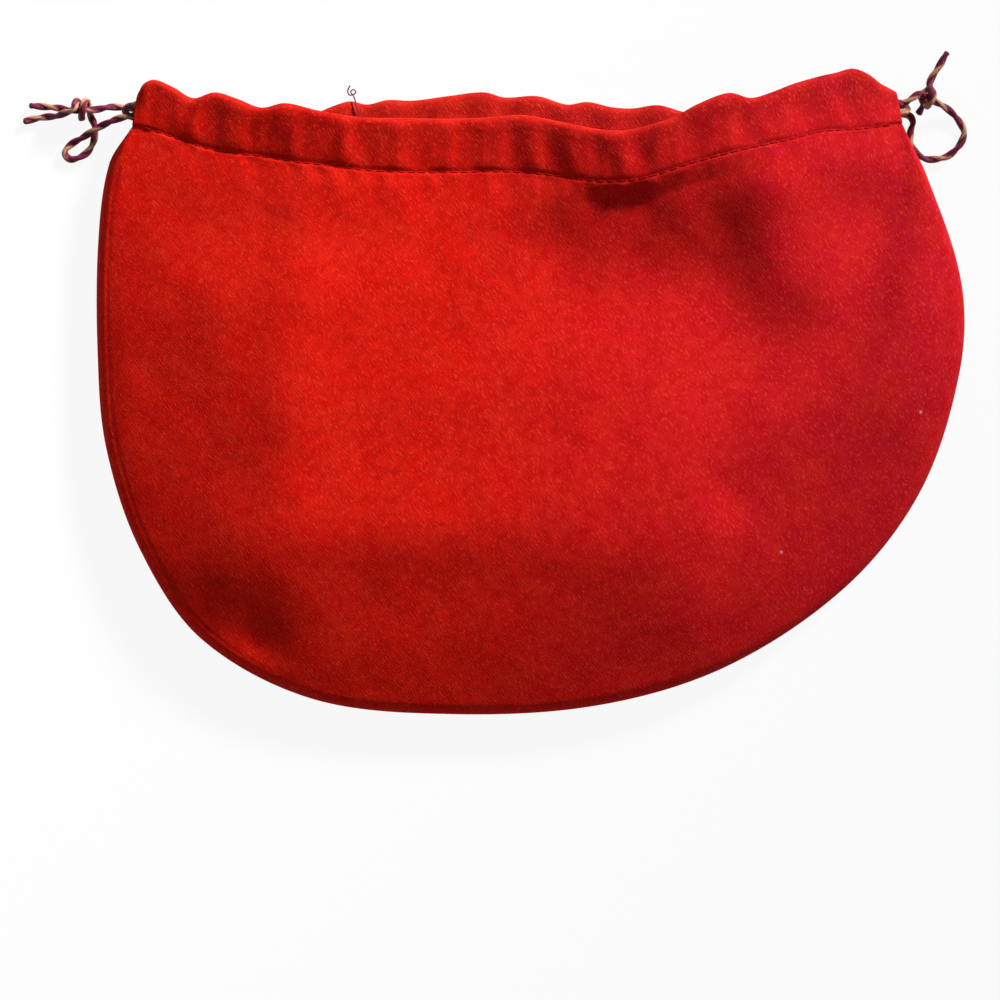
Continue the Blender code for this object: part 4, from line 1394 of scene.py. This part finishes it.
    def build(self, name: str, material: bpy.types.Material) -> bpy.types.Object:
        """Make the panel's mesh.

        Args:
            name: The piece's name.
            material: Its finish.

        Returns:
            The object, with two numbers on each vertex: how rubbed it is, as rub, and the painted casing
            shade.
        """
        form, is_front = self.form, self.is_front
        inwards = -1 if is_front else 1
        crook = form.cloth + (self.front_crook if is_front else self.back_crook)
        stitch, lip = mouth_columns(form, is_front, self.mouth_steps)
        seam = form.seam_line(self.seam_steps + 1)
        heading = np.gradient(seam, axis=0)
        heading /= np.linalg.norm(heading, axis=1)[:, None]
        inward = np.stack([-heading[:, 1], heading[:, 0]], axis=1)
        up = lip - stitch
        depth = np.linalg.norm(up, axis=1)
        up /= depth[:, None]
        edge = np.vstack([seam, stitch[-2:0:-1]])
        inner_edge = np.vstack([seam + crook * inward, (stitch - 1.0 * MM * up)[-2:0:-1]])

        book = MeshBook()
        wide = np.linspace(0, 0.955, self.wide_rings + 1)[1:]
        close = 1 - 0.045 * (1 - np.linspace(0, 1, self.edge_rings + 1)[1:]) ** 1.4
        outer_ring = self.body(book, edge, np.concatenate([wide, close]), False)
        inner_shares = np.linspace(0, 1, self.inner_rings + 1)[1:] ** 0.7
        inner_ring = self.body(book, inner_edge, inner_shares, True)

        level = form.seam_height - inwards * form.gap / 2
        ply = level - inwards * form.cloth
        hem = [outer_ring[: self.seam_steps + 1]]
        turned_in = (0.3 * MM, level), (form.seam_allowance, level), (form.seam_allowance, ply), (crook, ply)
        for shift, height in turned_in:
            spots = seam + shift * inward
            hem.append(book.add(np.column_stack([spots, np.full(len(spots), height)])))
        hem = np.array([*hem, inner_ring[: self.seam_steps + 1]])
        book.grid(hem, flip=not is_front)
        book.polygon(hem[:, 0], flip=is_front)
        book.polygon(hem[:, -1], flip=not is_front)

        self.casing(book, stitch, up, depth, outer_ring, inner_ring)
        thing = book.make(name, material)
        points = np.vstack(book.points)
        store_numbers(thing, "rub", self.rubbed(points[:, :2]))
        # Painted shade on the casing, stored for the material.
        store_numbers(thing, "casing_shade", self.casing_shade(points[:, :2]))
        return thing

    def body(self, book: MeshBook, border: np.ndarray, shares: np.ndarray, is_inner: bool) -> np.ndarray:
        """One face of the body, ring by ring round the middle.

        Args:
            book: Where the mesh is collected.
            border: The closed outline.
            shares: How far out each ring lies, as a share of the way to the outline.
            is_inner: Whether this is the face inside the pouch.

        Returns:
            The numbers of the outermost ring.
        """
        form = self.form
        inwards = -1 if self.is_front else 1
        spots = form.middle + shares[:, None, None] * (border - form.middle)
        flat = np.vstack([form.middle[None], spots.reshape(-1, 2)])
        heights = self.face(flat)
        if is_inner:
            heights = heights + inwards * form.wall(self.face, flat)
        numbers = book.add(np.column_stack([flat, heights]))
        rings = numbers[1:].reshape(len(shares), len(border))
        flip = is_inner == self.is_front
        book.fan(int(numbers[0]), rings[0], flip)
        book.grid(rings, flip, wrap=True)
        return rings[-1]

    def casing(
        self, book: MeshBook, stitch: np.ndarray, up: np.ndarray, depth: np.ndarray,
        outer_ring: np.ndarray, inner_ring: np.ndarray,
    ) -> None:
        """The casing and its tunnel, joined to both faces of the body along the stitching.

        Args:
            book: Where the mesh is collected.
            stitch: Points along the stitching.
            up: The way from each of them to the rim.
            depth: How far off the rim is.
            outer_ring: Numbers of the outer face's last ring.
            inner_ring: Numbers of the inner face's last ring.
        """
        form, is_front = self.form, self.is_front
        inwards = -1 if is_front else 1
        top = form.mouth_height(stitch[:, 0]) if is_front else np.zeros(len(stitch))
        puff = form.gathers(stitch[:, 0], np.zeros(len(stitch)))
        columns = len(outer_ring)
        back = (columns - np.arange(len(stitch))) % columns
        made = []
        for loop in self.section(depth):
            spots = stitch[:, None] + loop[..., :1] * up[:, None]
            raised = puff[:, None] * (loop[..., 2] if is_front else loop[..., 3])
            crumple = soft_waves(spots.reshape(-1, 2) * [1.0, 0.35], 4.6 * MM, 23).reshape(raised.shape)
            upper_face = np.where(loop[..., 1] < 0.5, loop[..., 2], 0) * is_front
            tilt = self.rim_tilt * loop[..., 0] / depth[:, None] * is_front
            raised = raised + self.crumple * crumple * upper_face
            raised = raised + tilt * smooth_step(depth, *self.tilt_depths)[:, None]
            heights = top[:, None] + inwards * form.casing_thickness * loop[..., 1] + raised
            made.append(book.add(np.concatenate([spots, heights[..., None]], axis=2)))
        sections = np.column_stack([outer_ring[back], made[0], inner_ring[back]])
        tunnels = made[1]
        book.grid(sections, flip=not is_front)
        book.grid(tunnels, flip=is_front, wrap=True)
        for j, flip in ((0, False), (-1, True)):
            self.end_wall(book, sections[j], tunnels[j], flip == is_front)

    def end_wall(self, book: MeshBook, section: np.ndarray, tunnel: np.ndarray, flip: bool) -> None:
        """Close the cloth's thickness at one end of the casing with a ring of faces.

        Each point of the outer line is joined to the tunnel's point at the same share of the way
        round, so that the tunnel stays open.

        Args:
            book: Where the mesh is collected.
            section: Numbers of the outer line's points.
            tunnel: Numbers of the tunnel's points.
            flip: Turn the faces round.
        """
        share = np.linspace(0, len(tunnel), len(section) + 1)[:-1].round().astype(int) % len(tunnel)
        for i in range(len(section)):
            k = (i + 1) % len(section)
            corners = [section[i], section[k], tunnel[share[k]]]
            if share[k] != share[i]:
                corners.append(tunnel[share[i]])
            book.polygon(np.array(corners), flip)

    def casing_shade(self, places: np.ndarray) -> np.ndarray:
        """Painted shade on the casing: nought at the stitching, one towards the rim."""
        above = places[:, 1] - self.form.stitch_y(self.is_front, places[:, 0])
        return smooth_step(above, *self.casing_shade_span)

    def rubbed(self, places: np.ndarray) -> np.ndarray:
        """How rubbed the cloth is: most at the rim, a little along the side seam, in uneven patches.

        Args:
            places: Places in the plane, one a row.

        Returns:
            A share from 0 to 1 for each place.
        """
        form = self.form
        rim = form.rim(self.is_front)
        to_rim = np.abs(np.interp(places[:, 0], rim[:, 0], rim[:, 1]) - places[:, 1])
        to_seam = form.inset(places)
        close = np.exp(-((to_rim / (1.6 * MM)) ** 2)) + 0.25 * np.exp(-((to_seam / (1.5 * MM)) ** 2))
        return np.clip(close * (0.6 + 0.5 * soft_waves(places, 7 * MM, 31)), 0, 1)


def flat_area(form: PouchForm, panel: ClothPanel) -> float:
    """Area of a panel as it was cut: its outline with the allowances and the folded casing.

    Args:
        form: The pouch's form.
        panel: The panel.

    Returns:
        The area in square metres.
    """
    seam = form.seam_line(400)
    _, lip = mouth_columns(form, panel.is_front, 200)
    outline = np.vstack([seam, lip[::-1]])
    x, y = outline[:, 0], outline[:, 1]
    inside = 0.5 * abs(np.dot(x, np.roll(y, -1)) - np.dot(y, np.roll(x, -1)))
    seam_length = np.linalg.norm(np.diff(seam, axis=0), axis=1).sum()
    folded = form.casing_depth * (form.width + 2 * form.seam_allowance)
    return inside + seam_length * form.seam_allowance + folded


# Stitches


@dataclass
class Stitching:
    """A row of single lockstitches in the groove along the casing."""

    form: PouchForm
    is_front: bool
    stitch_pitch: float = 2.6 * MM
    thread: float = 0.28 * MM
    from_end: float = 3 * MM
    below_line: float = 0.2 * MM
    arch: float = 0.16 * MM
    sink: float = 0.10 * MM
    front_rise: float = 0.36 * MM
    back_rise: float = 0.62 * MM
    rings: int = 6

    def line(self) -> np.ndarray:
        """The line in the groove that the stitches follow, from left to right.

        Returns:
            The line's points, one a row.
        """
        form = self.form
        left, right = form.ends()
        x = np.linspace(left[0] + self.from_end, right[0] - self.from_end, 1200)
        if self.is_front:
            z = form.mouth_height(x) - form.stitch_groove + self.front_rise
        else:
            z = np.full(len(x), 0.80 * form.casing_thickness + self.back_rise)
        return np.column_stack([x, form.stitch_y(self.is_front, x) - self.below_line, z])

    def build(self, name: str, material: bpy.types.Material) -> bpy.types.Object:
        """Make the row as short arched tubes, one from each hole to the next.

        A stitch rises as a half sine between its two holes, and its radius shrinks to a third at
        both ends, where it dives into the cloth.

        Args:
            name: The row's name.
            material: Its finish.

        Returns:
            The object.
        """
        line = self.line()
        run = np.concatenate([[0], np.cumsum(np.linalg.norm(np.diff(line, axis=0), axis=1))])
        count = int(run[-1] / self.stitch_pitch)
        share = np.linspace(0.06, 0.94, self.rings)
        spots = (np.arange(count)[:, None] + share[None]) * run[-1] / count
        centre = np.stack([np.interp(spots, run, line[:, k]) for k in range(3)], axis=2)
        centre[..., 2] += self.arch * np.sin(math.pi * share)[None] - self.sink
        heading = np.gradient(centre, axis=1)
        heading /= np.linalg.norm(heading, axis=2)[..., None]
        side = np.stack([-heading[..., 1], heading[..., 0], np.zeros(heading.shape[:2])], axis=2)
        side /= np.linalg.norm(side, axis=2)[..., None]
        up = np.cross(heading, side)
        thick = self.thread / 2 * (0.35 + 0.65 * np.sin(math.pi * share) ** 0.5)
        angle = np.linspace(0, 2 * math.pi, 6, endpoint=False)
        sideways = np.cos(angle)[None, None, :, None] * side[:, :, None]
        upwards = np.sin(angle)[None, None, :, None] * up[:, :, None]
        rings = centre[:, :, None] + thick[None, :, None, None] * (sideways + upwards)
        book = MeshBook()
        numbers = book.add(rings)
        for stitch in numbers:
            book.grid(stitch, flip=True, wrap=True)
            book.polygon(stitch[0], flip=True)
            book.polygon(stitch[-1])
        return book.make(name, material)


class PouchNodes:
    """Frame nodes whose shape is right already, and which only get a finish."""

    FINISHES = {
        "left_drawcord_run": "held_cord",
        "right_drawcord_run": "held_cord",
        "side_seam_thread": "thread",
        "loose_thread": "stray",
    }

    def dress(self, materials: dict[str, bpy.types.Material]) -> None:
        """Give each node its material.

        Args:
            materials: The finished materials by their short names.
        """
        for name, finish in self.FINISHES.items():
            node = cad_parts[name]
            node.data.materials.clear()
            node.data.materials.append(materials[finish])
            LOG.info("%s keeps its shape and takes %s", name, materials[finish].name)


def main() -> None:
    """Make the camera, the cords, the cloth and the threads, in that order."""
    logging.basicConfig(level=logging.INFO, format="%(name)s: %(message)s")
    form = PouchForm()
    Studio().build()
    effects = SharedEffects()
    materials = {
        "cord": CordFinish("twisted_cord_two_ply").make(effects),
        "held_cord": CordFinish("twisted_cord_in_casing", is_held=True).make(effects),
        "front": TwillFinish("red_twill_front", lint=((0.0977, -0.0049), (0.0627, -0.0399))).make(effects),
        "back": TwillFinish("red_twill_inside", left_color=(0.62, 0.016, 0.008), bump=0.3).make(effects),
        "thread": ThreadFinish("red_sewing_thread", (0.46, 0.008, 0.006)).make(effects),
        "stray": ThreadFinish("stray_thread_brown", (0.20, 0.035, 0.035)).make(effects),
    }
    Drawcords(form).build(materials["cord"])
    for is_front, name, node, slot in (
        (True, "front_cloth", "front_panel", "front"),
        (False, "back_cloth", "back_panel", "back"),
    ):
        fineness = {} if is_front else {"wide_rings": 26, "edge_rings": 14}
        panel = ClothPanel(form, is_front, **fineness)
        cloth = panel.build(name, materials[slot])
        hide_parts(node)
        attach(cloth, "root")
        stitches = Stitching(form, is_front).build(name + "_stitches", materials["thread"])
        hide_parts("front_casing_thread" if is_front else "back_casing_thread")
        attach(stitches, "root")
        flat_area(form, panel)
        for thing in (cloth, stitches):
            LOG.info("%s: %d faces", thing.name, len(thing.data.polygons))
    PouchNodes().dress(materials)


if __name__ == "__main__":
    main()
